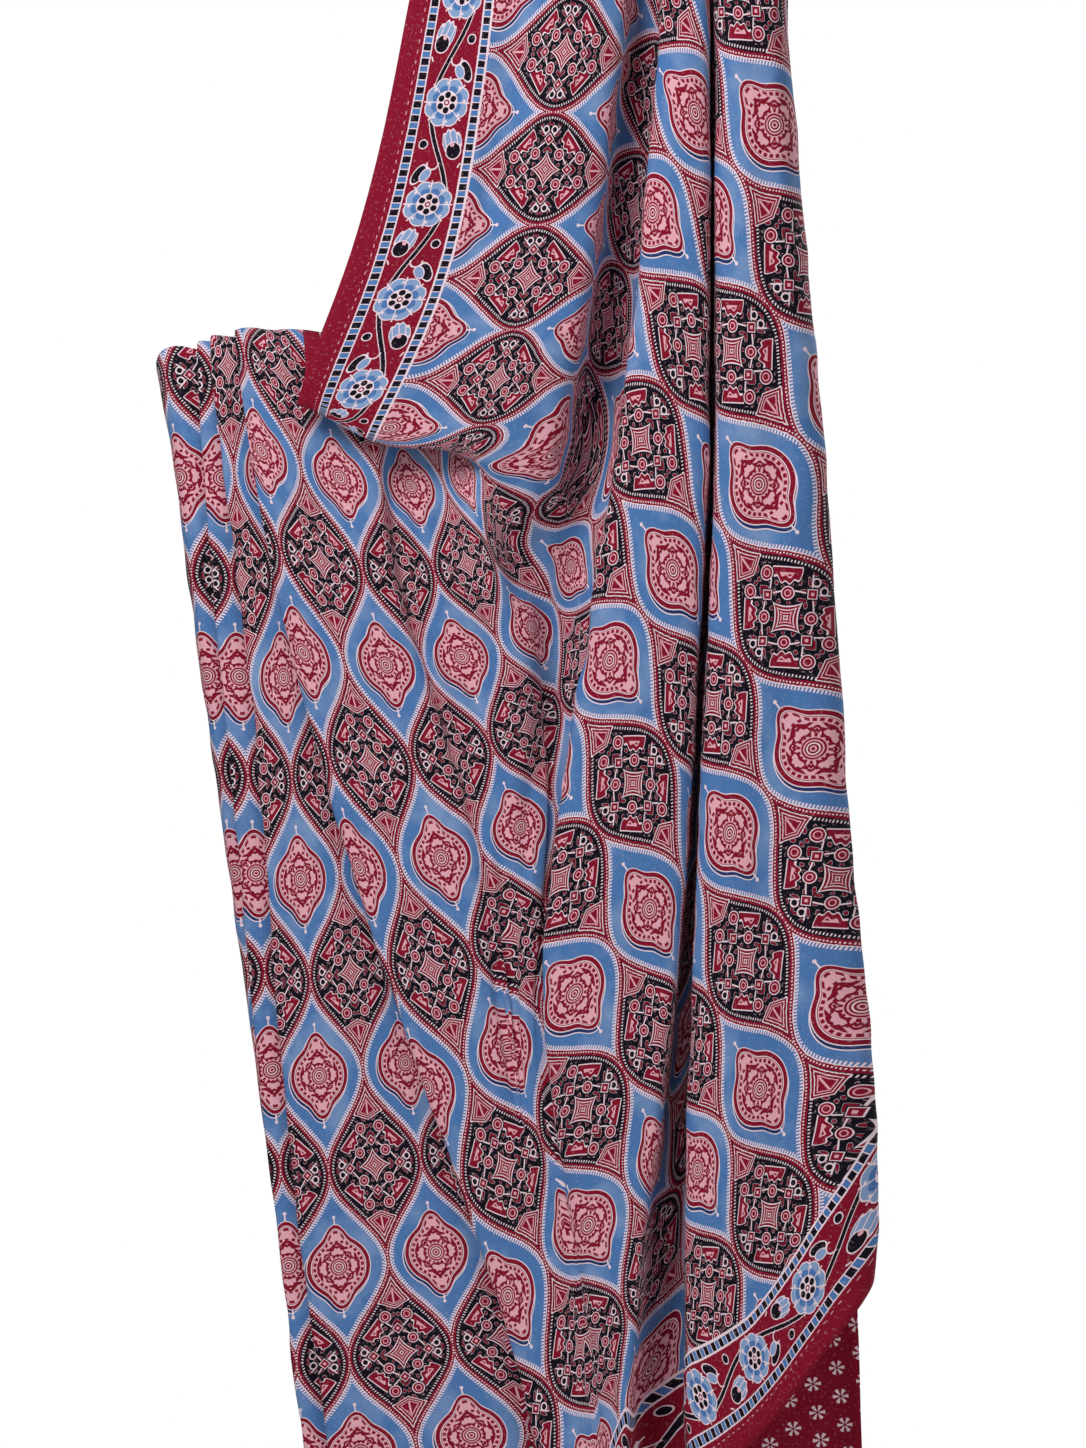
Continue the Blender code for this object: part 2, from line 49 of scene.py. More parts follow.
folds = {
    "thickness": 0.7,
    "stepsAcrossLeft": 4, "stepsAcrossRight": 5, "stepsDownShoulder": 4, "stepsDownPanel": 9,
    "shoulderSpread": 0.4,  # how far the folds even out on top of the shoulder
    "nesting": 0.8,  # how far the inner pleats turn over below the outer ones
    "frontmost": -18,  # depth of the pleats' front face
    "turnAhead": 1,
    # sideways shifts fade out between these drops, down to the share kept for each guide
    "fadeDrops": (800, 1000),
    "fadeKept": {"panel start": 0.0, "panel lip": 0.25, "panel end": 0.0, "front edge": 0.0},
    # where the main edges and ridges run, across, at each drop
    "guides": {
        "inner end": (leftDrops, (107, 117, 146, 169, 188, 198, 204, 210)),
        "left side": (leftDrops, (-341, -328, -309, -291, -270, -250, -226, -201)),
        "pleat one": (leftDrops, (-311, -306, -295, -280, -268, -253, -228, -202)),
        "pleat two": (leftDrops, (-300, -291, -273, -258, -250, -235, -209, -190)),
        "pleat three": (leftDrops, (-282, -270, -241, -203, -160, -103, -42, -31)),
        "tuck three": (leftDrops, (-256, -246, -221, -188, -150, -86, -17, -5)),
        "panel start": (panelDrops, (-228, -216, -202, -188, -173, -158, -130, -105, -70, -42, -20, -14)),
        "panel lip": (panelDrops, (-175, -169, -166, -148, -124, -106, -89, -78, -50, -28, -9, -4)),
        "panel end": (panelDrops, (-34, -46, -67, -50, -36, -38, -52, -60, -36, -17, -2, 3)),
        "flap edge": (flapDrops, (-130, -147, -164, -191, -228, -239)),
        "border line": (flapDrops, (-60, -77, -91, -105, -145, -173)),
        "flap middle": (flapDrops, (-12, -25, -38, -53, -79, -111)),
        "flap ridge": (flapDrops, (35, 23, 11, -6, -25, -36)),
        "front edge": (rightDrops, (52, 47, 38, 27, 17, 8, -2, -20, -32, -47, -46, -21, -3, 6, 10)),
        "front crest": (rightDrops, (69, 66, 60, 52, 46, 42, 37, 25, 12, -3, -4, 8, 11, 13, 15)),
        "groove left": (rightDrops, (84, 84, 84, 84, 84, 83, 79, 74, 69, 63, 52, 40, 27, 23, 22)),
        "groove right": (rightDrops, (90, 90, 90, 90, 90, 90, 87, 82, 78, 74, 70, 66, 65, 68, 71)),
        "right side": (rightDrops,
                       (147, 142, 151, 160, 168, 175, 179, 185, 190, 201, 212, 216, 209, 204, 199)),
    },
    # In the lines below, a place across is a guide and a shift, or also another guide and the share of the
    # way to it. Depths hold at the drops given here, and between them they change evenly.
    "leftDepthDrops": (342, 606, 900, 1373), "flapDepthDrops": (84, 284, 400),
    "panelDepthDrops": (514, 698, 900, 1200),
    # inner end and pleats: name, place, depths at the waist turn and at four drops, hem drop
    "leftLines": (
        ("inner hem end", ("inner end", 0), (60, 60, 58, 52, 48), 1350),
        ("inner ridge one", ("inner end", 0, "left side", 0.05), (62, 62, 60, 58, 60), 1350),
        ("inner valley one", ("inner end", 0, "left side", 0.16), (60, 60, 56, 46, 42), 1352),
        ("inner ridge two", ("inner end", 0, "left side", 0.28), (62, 62, 62, 62, 64), 1354),
        ("inner valley two", ("inner end", 0, "left side", 0.42), (60, 60, 56, 48, 44), 1356),
        ("inner ridge three", ("inner end", 0, "left side", 0.56), (62, 62, 62, 64, 66), 1360),
        ("inner valley three", ("inner end", 0, "left side", 0.7), (60, 60, 56, 50, 46), 1362),
        ("inner ridge four", ("inner end", 0, "left side", 0.84), (61, 61, 60, 60, 62), 1366),
        ("inner left", ("inner end", 0, "left side", 0.95), (58, 58, 56, 52, 52), 1368),
        ("left fold back", ("left side", 2), (42, 42, 38, 38, 38), 1370),
        ("left fold", ("left side", -4), (20, 20, 19, 20, 22), 1372),
        ("left fold front", ("left side", 0), (14, 2, 4, 9, 11), 1373),
        ("strip one", ("left side", 0, "pleat one", 0.55), (14, -2, 0, 7, 9), 1373),
        ("tuck one turn", ("pleat one", 17), (14, 7, 8, 12, 13), 1373),
        ("tuck one back", ("pleat one", 15), (14, 2, 3, 7, 7), 1373),
        ("pleat one lip", ("pleat one", -3), (14, -3, -2, 1, 1), 1373),
        ("pleat one face", ("pleat one", 1), (14, -8, -7, -6, -6), 1373),
        ("tuck two turn", ("pleat two", 17), (14, 2, 2, 2, 2), 1373),
        ("tuck two back", ("pleat two", 15), (14, -3, -3, -3, -3), 1373),
        ("pleat two lip", ("pleat two", -3), (14, -8, -8, -8, -8), 1373),
        ("pleat two face", ("pleat two", 1), (14, -13, -13, -13, -13), 1373),
        ("tuck three turn", ("tuck three", 0), (14, -3, -3, 2, 6), 1373),
        ("tuck three back", ("tuck three", -3), (14, -8, -8, -3, 1), 1372),
        ("pleat three lip", ("pleat three", -3), (14, -13, -13, -12, -12), 1371),
        ("pleat three face", ("pleat three", 1), (14, -18, -18, -19, -20), 1370),
        ("panel left", ("pleat three", 0, "panel start", 0.6), (14, -17, -18, -20, -21), 1368),
    ),
    # flap, panel and shoulder folds: name, place on the flap, place on the panel, depths on the flap and on
    # the panel, hem drop; then, where it turns under: how fully, the swag's drop and the hidden turn's
    "rightLines": (
        ("selvedge", ("flap edge", 0), ("panel start", 0),
         (-33, -37, -43), (-17, -17, -19, -20), 1366, 1.0, 396, 337),
        ("vine left", ("flap edge", 0, "border line", 0.33), ("panel start", 0, "panel lip", 0.34),
         (-35, -38, -42), (-17, -17, -19, -20), 1364, 1.0, 405, 340),
        ("vine right", ("flap edge", 0, "border line", 0.66), ("panel start", 0, "panel lip", 0.68),
         (-36, -38, -40), (-18, -18, -20, -20), 1362, 1.0, 418, 345),
        ("panel lip left", ("border line", 0), ("panel lip", -3),
         (-34, -36, -39), (-18, -18, -20, -20), 1360, 1.0, 425, 356),
        ("panel lip", ("border line", 0, "flap middle", 0.15), ("panel lip", 2),
         (-32, -34, -38), (-14, -15, -20, -20), 1358, 1.0, 427, 360),
        ("swag valley one", ("border line", 0, "flap middle", 0.32), ("panel lip", 7),
         (-31, -34, -38), (4, -6, -19, -20), 1357, 1.0, 429, 368),
        ("swag ridge one", ("border line", 0, "flap middle", 0.55), ("panel lip", 0, "panel end", 0.28),
         (-33, -36, -39), (-20, -21, -21, -20), 1356, 0.9, 433, 385),
        ("swag valley two", ("border line", 0, "flap middle", 0.78), ("panel lip", 0, "panel end", 0.42),
         (-36, -38, -40), (-7, -12, -20, -20), 1354, 0.75, 437, 398),
        ("swag ridge two", ("flap middle", 0), ("panel lip", 0, "panel end", 0.6),
         (-38, -40, -42), (-26, -23, -21, -20), 1352, 0.55, 441, 412),
        ("swag face", ("flap middle", 0, "flap ridge", 0.33), ("panel lip", 0, "panel end", 0.76),
         (-38, -40, -42), (-30, -24, -20, -20), 1350, 0.3, 443, 425),
        ("swag right", ("flap middle", 0, "flap ridge", 0.66), ("panel lip", 0, "panel end", 0.9),
         (-36, -38, -40), (-26, -22, -20, -20), 1347, 0.1, 445, 440),
        ("flap crest", ("flap ridge", 0), ("panel end", 0), (-32, -34, -36), (-16, -17, -19, -20), 1344),
        ("flap lip", ("flap ridge", 4), ("panel end", 4, "front edge", 0.12),
         (-20, -22, -22), (-8, -13, -18, -20), 1340),
        ("valley left", ("flap ridge", 0, "front edge", 0.25), ("panel end", 0, "front edge", 0.35),
         (3, 12, 12), (2, -9, -17, -20), 1338),
        ("valley right", ("flap ridge", 6, "front edge", 0.75), ("panel end", 12, "front edge", 0.75),
         (4, 14, 14), (2, -6, -17, -21), 1334),
        ("front under", ("front edge", 6), ("front edge", 16, "front crest", -0.15),
         (-4, -4, -5), (-8, -13, -20, -22), 1328),
        ("front edge", ("front edge", -3), ("front edge", -3), (-22, -26, -28), (-24, -26, -24, -23), 1324),
        ("front face", ("front edge", 0, "front crest", 0.2), ("front edge", 0, "front crest", 0.2),
         (-30, -33, -34), (-34, -35, -29, -25), 1318),
        ("front crest", ("front crest", 0), ("front crest", 0),
         (-35, -38, -38), (-39, -39, -36, -30), 1308),
        ("groove left face", ("groove left", -5), ("groove left", -6),
         (-33, -35, -35), (-36, -38, -39, -38), 1292),
        ("groove left lip", ("groove left", 1), ("groove left", 1),
         (-24, -26, -26), (-26, -28, -30, -30), 1286),
        ("groove floor left", ("groove left", 1), ("groove left", 3), (6, 20, 22), (22, 22, 24, 22), 1272),
        ("groove floor right", ("groove right", 1), ("groove right", 8),
         (6, 20, 22), (22, 22, 22, 20), 1246),
        ("groove right lip", ("groove right", -4), ("groove right", -5),
         (-22, -24, -24), (-24, -26, -28, -28), 1232),
        ("groove right face", ("groove right", 4), ("groove right", 3),
         (-30, -32, -32), (-32, -34, -36, -37), 1224),
        ("right ridge one", ("groove right", 0, "right side", 0.3), ("groove right", 0, "right side", 0.28),
         (-35, -37, -37), (-38, -38, -37, -36), 1203),
        ("right dip", ("groove right", 0, "right side", 0.52), ("groove right", 0, "right side", 0.5),
         (-31, -32, -33), (-34, -33, -32, -31), 1170),
        ("right ridge two",
         ("groove right", 0, "right side", 0.76), ("groove right", 0, "right side", 0.75),
         (-31, -32, -33), (-34, -33, -32, -31), 1120),
        ("right front", ("right side", -5), ("right side", -6),
         (-20, -20, -21), (-22, -21, -20, -19), 1082),
        ("right fold", ("right side", 2), ("right side", 2), (-2, -2, -2), (-2, -2, -2, -2), 1066),
        ("right back", ("right side", -5), ("right side", -6), (6, 15, 16), (16, 16, 16, 16), 1052),
        ("return middle", ("groove right", 0, "right side", 0.72), ("groove right", 0, "right side", 0.72),
         (6, 26, 28), (28, 28, 29, 30), 1024),
        ("return end", ("groove right", 0, "right side", 0.4), ("groove right", 0, "right side", 0.42),
         (4, 30, 33), (33, 33, 34, 34), 990),
    ),
    "shoulderRows": (
        # tail, then over the shoulder: drop, depth, share of the front folds' depth kept, share kept behind
        (300, 62, 0.0, 0.22), (240, 62, 0.0, 0.20), (165, 61, 0.0, 0.16), (85, 60, 0.0, 0.12),
        (14, 54, 0.0, 0.06), (-7, 18, 0.0, 0.03), (14, 0, 0.62, 0.0),
    ),
    "tailForward": 25,  # depth taken off the folds behind the shoulder
    "flapRowDrops": (84, 184, 284),
    # ten rows between flap and panel. Where the swag turns under: round its lower edge, from its drop, how
    # far back they step there, past the hidden turn, and below it. Elsewhere: at the straight drops
    "swagRound": (-55, -12, 4, -8), "swagSteps": (0.0, 0.0, 4.5, 9.0, 9.0), "turnHook": 8,
    "belowTurnDrops": (445, 514),
    "straightDrops": (340, 376, 405, 432, 458, 484, 502, 524, 562, 606),
    "toPanel": (0.0, 0.0, 0.05, 0.2, 0.6, 1.0, 1.0, 1.0, 1.0, 1.0),  # share of the way to the panel's place
    "pleatDrops": (334, 342, 430, 514, 606),
    "kneeDrop": 606, "hemSteps": 7,  # below the knee every line has even steps to its own hem drop
    # the pleats' turned-over tops: how far each row hangs down behind, and how far behind
    "tuckDrops": (96, 78, 62, 46, 30, 18, 9), "tuckGap": 6,
}

lineNames = [line[0] for line in folds["leftLines"]] + [line[0] for line in folds["rightLines"]]
leftCount = len(folds["leftLines"])
frontRow = len(folds["shoulderRows"]) - 1  # the row just in front of the shoulder fold
turnRow = frontRow + len(folds["flapRowDrops"]) + 6  # the hidden turn behind the flap's lower edge


# Number of the grid column on a named line, counted from the flap's free edge.
def flapColumn(name):
    return (lineNames.index(name) - leftCount) * folds["stepsAcrossRight"]


# Uniform cubic B-spline over the first axis: each point is a weighted mean of four neighbours, and the
# ends are reflected so that the curve reaches its last points.
def spline(values, places):
    padded = np.concatenate([2 * values[:1] - values[1:2], values, 2 * values[-1:] - values[-2:-1]])
    first = np.clip(np.floor(places).astype(int), 0, len(values) - 2)
    part = (places - first).reshape(-1, *([1] * (values.ndim - 1)))
    weights = ((1 - part) ** 3, 3 * part ** 3 - 6 * part ** 2 + 4,
               -3 * part ** 3 + 3 * part ** 2 + 3 * part + 1, part ** 3)
    return sum(weight * padded[first + step] for step, weight in enumerate(weights)) / 6


# Place across: a guide's own place, or a share of the way on to another guide's, plus the shift.
def acrossAt(place, drops, shiftKept=1.0):
    guide, shift, *way = place
    x = np.interp(drops, *folds["guides"][guide])
    if way:
        other, share = way
        x = x + (np.interp(drops, *folds["guides"][other]) - x) * share
    return x + shift * shiftKept


# The same on the panel, where the shift fades out with the drop.
def panelAcross(place, drops):
    kept = folds["fadeKept"].get(place[0], 1.0)
    return acrossAt(place, drops, np.interp(drops, folds["fadeDrops"], (1.0, kept)))


def hemDrops(hem):
    knee, steps = folds["kneeDrop"], folds["hemSteps"]
    return [knee + (hem - knee) * step / steps for step in range(1, steps + 1)]


# Control points of one line down the pleats or the inner layer: across, depth, drop.
def leftControl(line):
    _, place, depths, hem = line
    drops = np.array([*folds["pleatDrops"], *hemDrops(hem)], dtype=float)
    depth = np.interp(drops, folds["leftDepthDrops"], depths[1:])
    depth[0] = depths[0]
    x = acrossAt(place, drops)
    drops[:2] += (depth[1] - folds["frontmost"]) * folds["nesting"]
    return np.stack([x, depth, drops], axis=1)


# On top of the shoulder a line lies between its own place and an even share of the width.
def shoulderPlace(name, place):
    natural = acrossAt(place, 0, 0.0)
    names = lineNames[leftCount:]
    leftEdge, rightEdge = (folds["guides"][guide][1][0] for guide in ("flap edge", "right side"))
    even = leftEdge + (rightEdge - leftEdge) * names.index(name) / names.index("right fold")
    return natural + (even - natural) * folds["shoulderSpread"]


def swagOf(line):
    return line[6:] or (0.0, 0, 0)


# Control points of one line from the tail's end over the shoulder to the hem. A line that turns under
# at the swag has its own drops there; the others blend from the flap's place and depth to the panel's.
def rightControl(line):
    name, onFlap, onPanel, flapDepths, panelDepths, hem = line[:6]
    swag, swagDrop, turnDrop = swagOf(line)
    top = shoulderPlace(name, onFlap)
    rows = []
    for drop, depth, kept, behind in folds["shoulderRows"]:
        shallow = behind * (flapDepths[0] + folds["tailForward"])
        rows.append((top, depth + kept * flapDepths[0] - shallow, drop))
    for drop in folds["flapRowDrops"]:
        rows.append((acrossAt(onFlap, drop), np.interp(drop, folds["flapDepthDrops"], flapDepths), drop))
    turned = np.array([*(swagDrop + step for step in folds["swagRound"]), (swagDrop + turnDrop) / 2,
                       turnDrop, turnDrop + folds["turnHook"], *folds["belowTurnDrops"], folds["kneeDrop"]])
    drops = swag * turned + (1 - swag) * np.array(folds["straightDrops"])
    toPanel = np.array(folds["toPanel"])
    flapX, panelX = acrossAt(onFlap, drops), panelAcross(onPanel, drops)
    flapDepth = np.interp(drops, folds["flapDepthDrops"], flapDepths)
    panelDepth = np.interp(drops, folds["panelDepthDrops"], panelDepths)
    turnedDepth = panelDepth.copy()
    turnedDepth[:5] = flapDepths[-1] + np.array(folds["swagSteps"])
    turnedDepth[5] = panelDepth[5] - folds["turnAhead"]
    straight = flapDepth + (panelDepth - flapDepth) * toPanel
    depth = swag * turnedDepth + (1 - swag) * straight
    rows.extend(zip(flapX + (panelX - flapX) * toPanel, depth, drops))
    for drop in hemDrops(hem):
        depth = np.interp(drop, folds["panelDepthDrops"], panelDepths)
        rows.append((panelAcross(onPanel, drop), depth, drop))
    return np.array(rows, dtype=float)


# The cloth's middle surface as three grids: the panel (waist turn to hem, all lines), the shoulder
# (tail's end to hidden turn, right lines) and the pleats' turned-over tops.
def clothGrids():
    left = np.array([leftControl(line) for line in folds["leftLines"]])
    right = np.array([rightControl(line) for line in folds["rightLines"]])
    whole = np.concatenate([left, right[:, turnRow:]])
    rightLines = len(right) - 1
    leftPlaces = np.arange(leftCount * folds["stepsAcrossLeft"]) / folds["stepsAcrossLeft"]
    rightPlaces = np.arange(rightLines * folds["stepsAcrossRight"] + 1) / folds["stepsAcrossRight"]
    places = np.concatenate([leftPlaces, rightPlaces + leftCount])
    downUpper = np.linspace(0, turnRow, turnRow * folds["stepsDownShoulder"] + 1)
    lowerSpans = right.shape[1] - turnRow - 1
    downLower = np.linspace(0, lowerSpans, lowerSpans * folds["stepsDownPanel"] + 1)

    lowerLines = spline(whole, places)
    lower = spline(lowerLines.transpose(1, 0, 2), downLower)
    first = len(leftPlaces)
    upperLines = spline(right[:, :turnRow + 1], rightPlaces)
    upperLines[:, turnRow] = lowerLines[first:, 0]
    down = np.concatenate([upperLines, lowerLines[first:, 1:]], axis=1).transpose(1, 0, 2)
    swags = np.array([min(1.0, swagOf(line)[0] * 4) for line in folds["rightLines"]])
    sharp = np.interp(rightPlaces, np.arange(len(swags)), swags)[None, :, None]
    upper = sharp * spline(down[:turnRow + 1], downUpper) + (1 - sharp) * spline(down, downUpper)
    lower[:, first:] = sharp * lower[:, first:] + (1 - sharp) * spline(down, downLower + turnRow)
    lower[0, first:] = upper[-1]

    start = lineNames.index("strip one") * folds["stepsAcrossLeft"]
    tucked = slice(start, first)
    front = lowerLines[tucked].transpose(1, 0, 2)
    rows = []
    for drop in folds["tuckDrops"]:
        place = 1 + (drop - folds["tuckDrops"][-1]) / (folds["pleatDrops"][2] - folds["pleatDrops"][1])
        row = spline(front, np.array([place]))[0]
        depth = 2 * lower[0, tucked, 1] - row[:, 1] + folds["tuckGap"]
        rows.append(np.stack([row[:, 0], depth, lower[0, tucked, 2] + drop], axis=1))
    tuck = np.array(rows + [lower[0, tucked]])
    return lower, upper, tuck, places, downUpper, first, start


# where the print lies on each fold, and the measures of its repeat
printing = {
    "repeat": 84,  # mm along the cloth from one blue motif to the next
    "rowPitch": 157,  # mm across the cloth from one blue motif to the next
    "firstRow": 203,  # mm from the outer edge to the first blue row
    "borderWidth": 73,
    "flowerPitch": 74,  # mm along the border from flower to flower
    "panelWidth": 250,  # mm of plain-ground end panel at the cloth's inner end
    "endAt": -420,  # mm along the cloth where the inner end comes
    # where motifs lie on each fold: number along, row, across, drop
    "places": {
        "strip": (
            (0, 1, -324, 449), (0, 2, -302, 607), (0, 3, -283, 752),
        ),
        "pleatOne": (
            (1, 1, -291, 449), (1, 2, -277, 607), (1, 3, -265, 758), (1, 4, -253, 902),
        ),
        "pleatTwo": (
            (2, 1, -259, 445), (2, 2, -240, 603), (2, 3, -231, 756), (2, 4, -217, 910), (2, 5, -202, 1067),
            (2, 6, -183, 1195), (3, 4, -148, 902), (3, 5, -132, 1045), (3, 6, -97, 1189),
        ),
        "panel": (
            (4, 1, -262, 436), (4, 2, -228, 593), (4, 3, -186, 753), (4, 5, -76, 1057), (5, 1, -192, 433),
            (5, 2, -153, 587), (5, 3, -117, 748), (5, 4, -85, 900), (5, 5, -2, 1035), (6, 1, -156, 451),
            (6, 2, -102, 594), (6, 3, -58, 709), (6, 4, -17, 851), (7, 1, -107, 469), (7, 2, -36, 562),
            (7, 4, 38, 779),
        ),
        "frontFold": (
            (11, 2, 41, 251), (12, 2, 77, 176), (8, 3, 5, 587), (9, 3, 53, 522), (6, 4, -17, 851),
            (7, 4, 38, 779), (5, 5, -2, 1035), (6, 5, 44, 974), (4, 6, -9, 1189), (10.5, 2.5, 68, 346),
            (9.5, 2.5, 28, 420),
        ),
        "rightFold": (
            (12, 3, 96, 249), (13, 3, 138, 183), (11, 4, 118, 456), (12, 4, 163, 390), (9, 5, 96, 729),
            (10, 5, 146, 656), (7, 6, 75, 979), (8, 6, 132, 924), (9, 6, 183, 858), (12.5, 3.5, 145, 288),
            (11.5, 3.5, 102, 351),
        ),
        "flap": (
            (11.5, 0.5, -29, 123), (10.5, 0.5, -42, 215), (9.5, 0.5, -55, 299), (8.5, 0.5, -81, 378),
            (11.5, 0.1, -77, 127), (11.5, 0.9, 17, 131), (10.5, 0.1, -90, 212), (10.5, 0.9, 6, 216),
            (9.5, 0.1, -106, 304), (9.5, 0.9, -10, 298), (8.5, 0.1, -139, 374), (8.5, 0.9, -30, 374),
        ),
        # border flowers along the flap's edge and along the hem
        "flapFlowers": (
            (0, 0, -102, 92), (-1, 0, -118, 165), (-2, 0, -130, 239), (-3, 0, -148, 315),
        ),
        "hemFlowers": (
            (0, 0, 113, 1117), (1, 0, 166, 1057), (2, 0, 205, 990),
        ),
    },
    # lines where each fold's print holds, and the line its width is measured from
    "reach": {
        "strip": ("left fold", "tuck one turn", "left fold front"),
        "pleatOne": ("pleat one lip", "tuck two turn", "pleat one face"),
        "pleatTwo": ("pleat two lip", "tuck three turn", "pleat two face"),
        "panel": ("pleat three lip", "valley left", "pleat three lip"),
        "frontFold": ("front under", "groove left lip", "front crest"),
        "rightFold": ("groove floor right", "return end", "right ridge one"),
    },
    "middleDrop": 700,  # the fitted map's squares are taken from here
    "steadyAbove": 60.0,  # drop above which the map goes on straight, by its slope over the next stretch
    "slopeOver": 20,
    "flapSteady": 3.0,  # keeps the flap's map gentle where its places are few
    "swagBlend": (4, 3.5),  # rows above the hidden turn where the flap's print starts to give way, and over
    "innerBlend": 120,  # mm past the left fold over which the print changes to the end panel's place
    "hemSmooth": 8, "steepestHem": 1.5,  # columns to each side, and the largest slope, in the hem's lean
}


# Distance along each grid row from its first point.
def rowLengths(grid):
    steps = np.sqrt(((grid[:, 1:] - grid[:, :-1]) ** 2).sum(axis=2))
    return np.concatenate([np.zeros((len(grid), 1)), np.cumsum(steps, axis=1)], axis=1)


def columnLengths(grid):
    return rowLengths(grid.transpose(1, 0, 2)).T


# Terms of the fitted map: constant, across, drop, their product, then their squares.
def terms(x, drop, count):
    drop = drop - printing["middleDrop"]
    parts = (np.ones_like(x), x, drop, x * drop / 1000, drop * drop / 1000, x * x / 1000)
    return np.stack(parts[:count], axis=-1)


# Flattened width and drop where each motif of a fold lies, and its number along and row.
def motifPlaces(name, x, z, flatX):
    spots = np.array(printing["places"][name], dtype=float)
    found = []
    for spotX, spotDrop in spots[:, 2:]:
        gap = (x - spotX) ** 2 + (z - spotDrop) ** 2
        near = np.unravel_index(gap.argmin(), gap.shape)
        found.append((flatX[near] + spotX - x[near], spotDrop))
    return np.array(found), spots[:, :2]


# Least-squares map from flattened width and drop to (number along, row).
def fitMap(name, found, target, count, steady=0.0):
    matrix = terms(found[:, 0], found[:, 1], count)
    hold = steady * np.eye(count)[-1:]
    held = np.concatenate([target, [(0, 0)]])
    answer = np.linalg.lstsq(np.concatenate([matrix, hold]), held, rcond=None)[0]
    off = np.abs(matrix @ answer - target).max(axis=0)
    print(f"print on {name}: {len(found)} places, furthest off {off[0]:.2f} repeats and {off[1]:.2f} rows")
    return answer


# A fold with a single line of motifs gets a second line beside it, square to its lean.
def fitPlaces(name, x, z, flatX):
    found, target = motifPlaces(name, x, z, flatX)
    if len(set(target[:, 0])) == 1:
        lean = np.polyfit(found[:, 1], found[:, 0], 1)[0]
        beside = found + (printing["repeat"], -lean * printing["repeat"])
        found = np.concatenate([found, beside])
        target = np.concatenate([target, target + (1, 0)])
    count = 6 if len(found) > 9 else (5 if len(found) > 8 else 4)
    return fitMap(name, found, target, count), count


# A slow start and a slow end between nought and one.
def eased(share):
    share = np.clip(share, 0, 1)
    return share * share * (3 - 2 * share)


# Where every grid point lies on the flat cloth: across and along.
def flatCoordinates(lower, upper, tuck, places, downUpper, first, start):
    whole = lineNames.index
    lowerLength, upperLength = rowLengths(lower), rowLengths(upper)
    # behind the shoulder the drop goes on upward as cloth length
    frontIndex = int(np.argmin(np.abs(downUpper - frontRow)))
    down = columnLengths(upper)
    upperDrop = upper[..., 2].copy()
    upperDrop[:frontIndex] = upper[frontIndex, :, 2] - (down[frontIndex] - down[:frontIndex])

    maps, reach, above = [], [], {}
    for name, (lineA, lineB, reference) in printing["reach"].items():
        low, high = whole(lineA), whole(lineB)
        column = int(np.argmin(np.abs(places - whole(reference))))
        flatX = lower[:, column:column + 1, 0] + lowerLength - lowerLength[:, column:column + 1]
        columns = (places >= low) & (places <= high)
        x, z, width = lower[..., 0], lower[..., 2], flatX
        if column >= first:
            column -= first
            upperFlat = upper[:, column:column + 1, 0] + upperLength - upperLength[:, column:column + 1]
            x = np.concatenate([upper[frontIndex:, :, 0], lower[1:, first:, 0]])
            z = np.concatenate([upper[frontIndex:, :, 2], lower[1:, first:, 2]])
            width = np.concatenate([upperFlat[frontIndex:], flatX[1:, first:]])
            columns = columns[first:]
        else:
            upperFlat = np.repeat(flatX[:1, first:], len(upper), axis=0)
        answer, count = fitPlaces(name, x[:, columns], z[:, columns], width[:, columns])
        maps.append(terms(flatX, lower[..., 2], count) @ answer)
        reach.append((low, high))
        above[name] = carryUp(upperFlat, upperDrop, count, answer)
    number = blendAcross(places, maps, reach)

    ends = [(whole("front under"), whole("groove left lip")),
            (whole("groove floor right"), whole("return end"))]
    edge = whole("selvedge") - 1
    folded = [above["frontFold"], above["rightFold"]]
    shoulder = blendAcross(places[first:], [flapPrint(upper, upperDrop, frontIndex), *folded],
                           [(edge, whole("flap lip")), *ends])
    # below the swag the flap's print gives way to the panel's, where the cloth is hidden
    panelUp = blendAcross(places[first:], [above["panel"], *folded], [(edge, whole("valley left")), *ends])
    before, over = printing["swagBlend"]
    share = eased((downUpper - (turnRow - before)) / over)[:, None, None]

    lowerFlat = innerEnd(toMillimetres(number), lowerLength, places)
    upperFlat = toMillimetres(shoulder * (1 - share) + panelUp * share)
    lowerFlat[0, first:] = upperFlat[-1]
    tuckFlat = np.repeat(lowerFlat[:1, start:first], len(tuck), axis=0)
    fall = np.array([*folds["tuckDrops"], 0.0])[:, None] / folds["tuckDrops"][0]
    tuckFlat[..., 0] *= 1 - fall
    return lowerFlat, upperFlat, tuckFlat


# The border has its own place: distance in from the side edge, and distance along by its flowers.
def edgeCoordinates(lower, upper, tuck, lowerFlat, upperFlat, front):
    toHem = columnLengths(lower)
    toHem = toHem[-1] - toHem
    smooth, steepest = printing["hemSmooth"], printing["steepestHem"]
    lean = np.gradient(lower[-1, :, 2]) / np.maximum(np.abs(np.gradient(lower[-1, :, 0])), 1.0)
    square = 1 / np.sqrt(1 + np.clip(lean, -steepest, steepest) ** 2)
    kernel = np.ones(2 * smooth + 1) / (2 * smooth + 1)
    lowerOut = toHem * np.convolve(np.pad(square, smooth, mode="edge"), kernel, mode="valid")
    upperOut = flapAcross(upper)
    lowerRun = flowerRun(lower, lowerOut, lowerFlat[..., 1], "hemFlowers", 0)
    upperRun = flowerRun(upper, upperOut, upperFlat[..., 1], "flapFlowers", front)
    farIn = np.full(tuck.shape[:2], 400.0)  # no border on the turned-over tops
    pairs = (lowerOut, lowerRun), (upperOut, upperRun), (farIn, farIn)
    return [np.stack(pair, axis=-1) for pair in pairs]


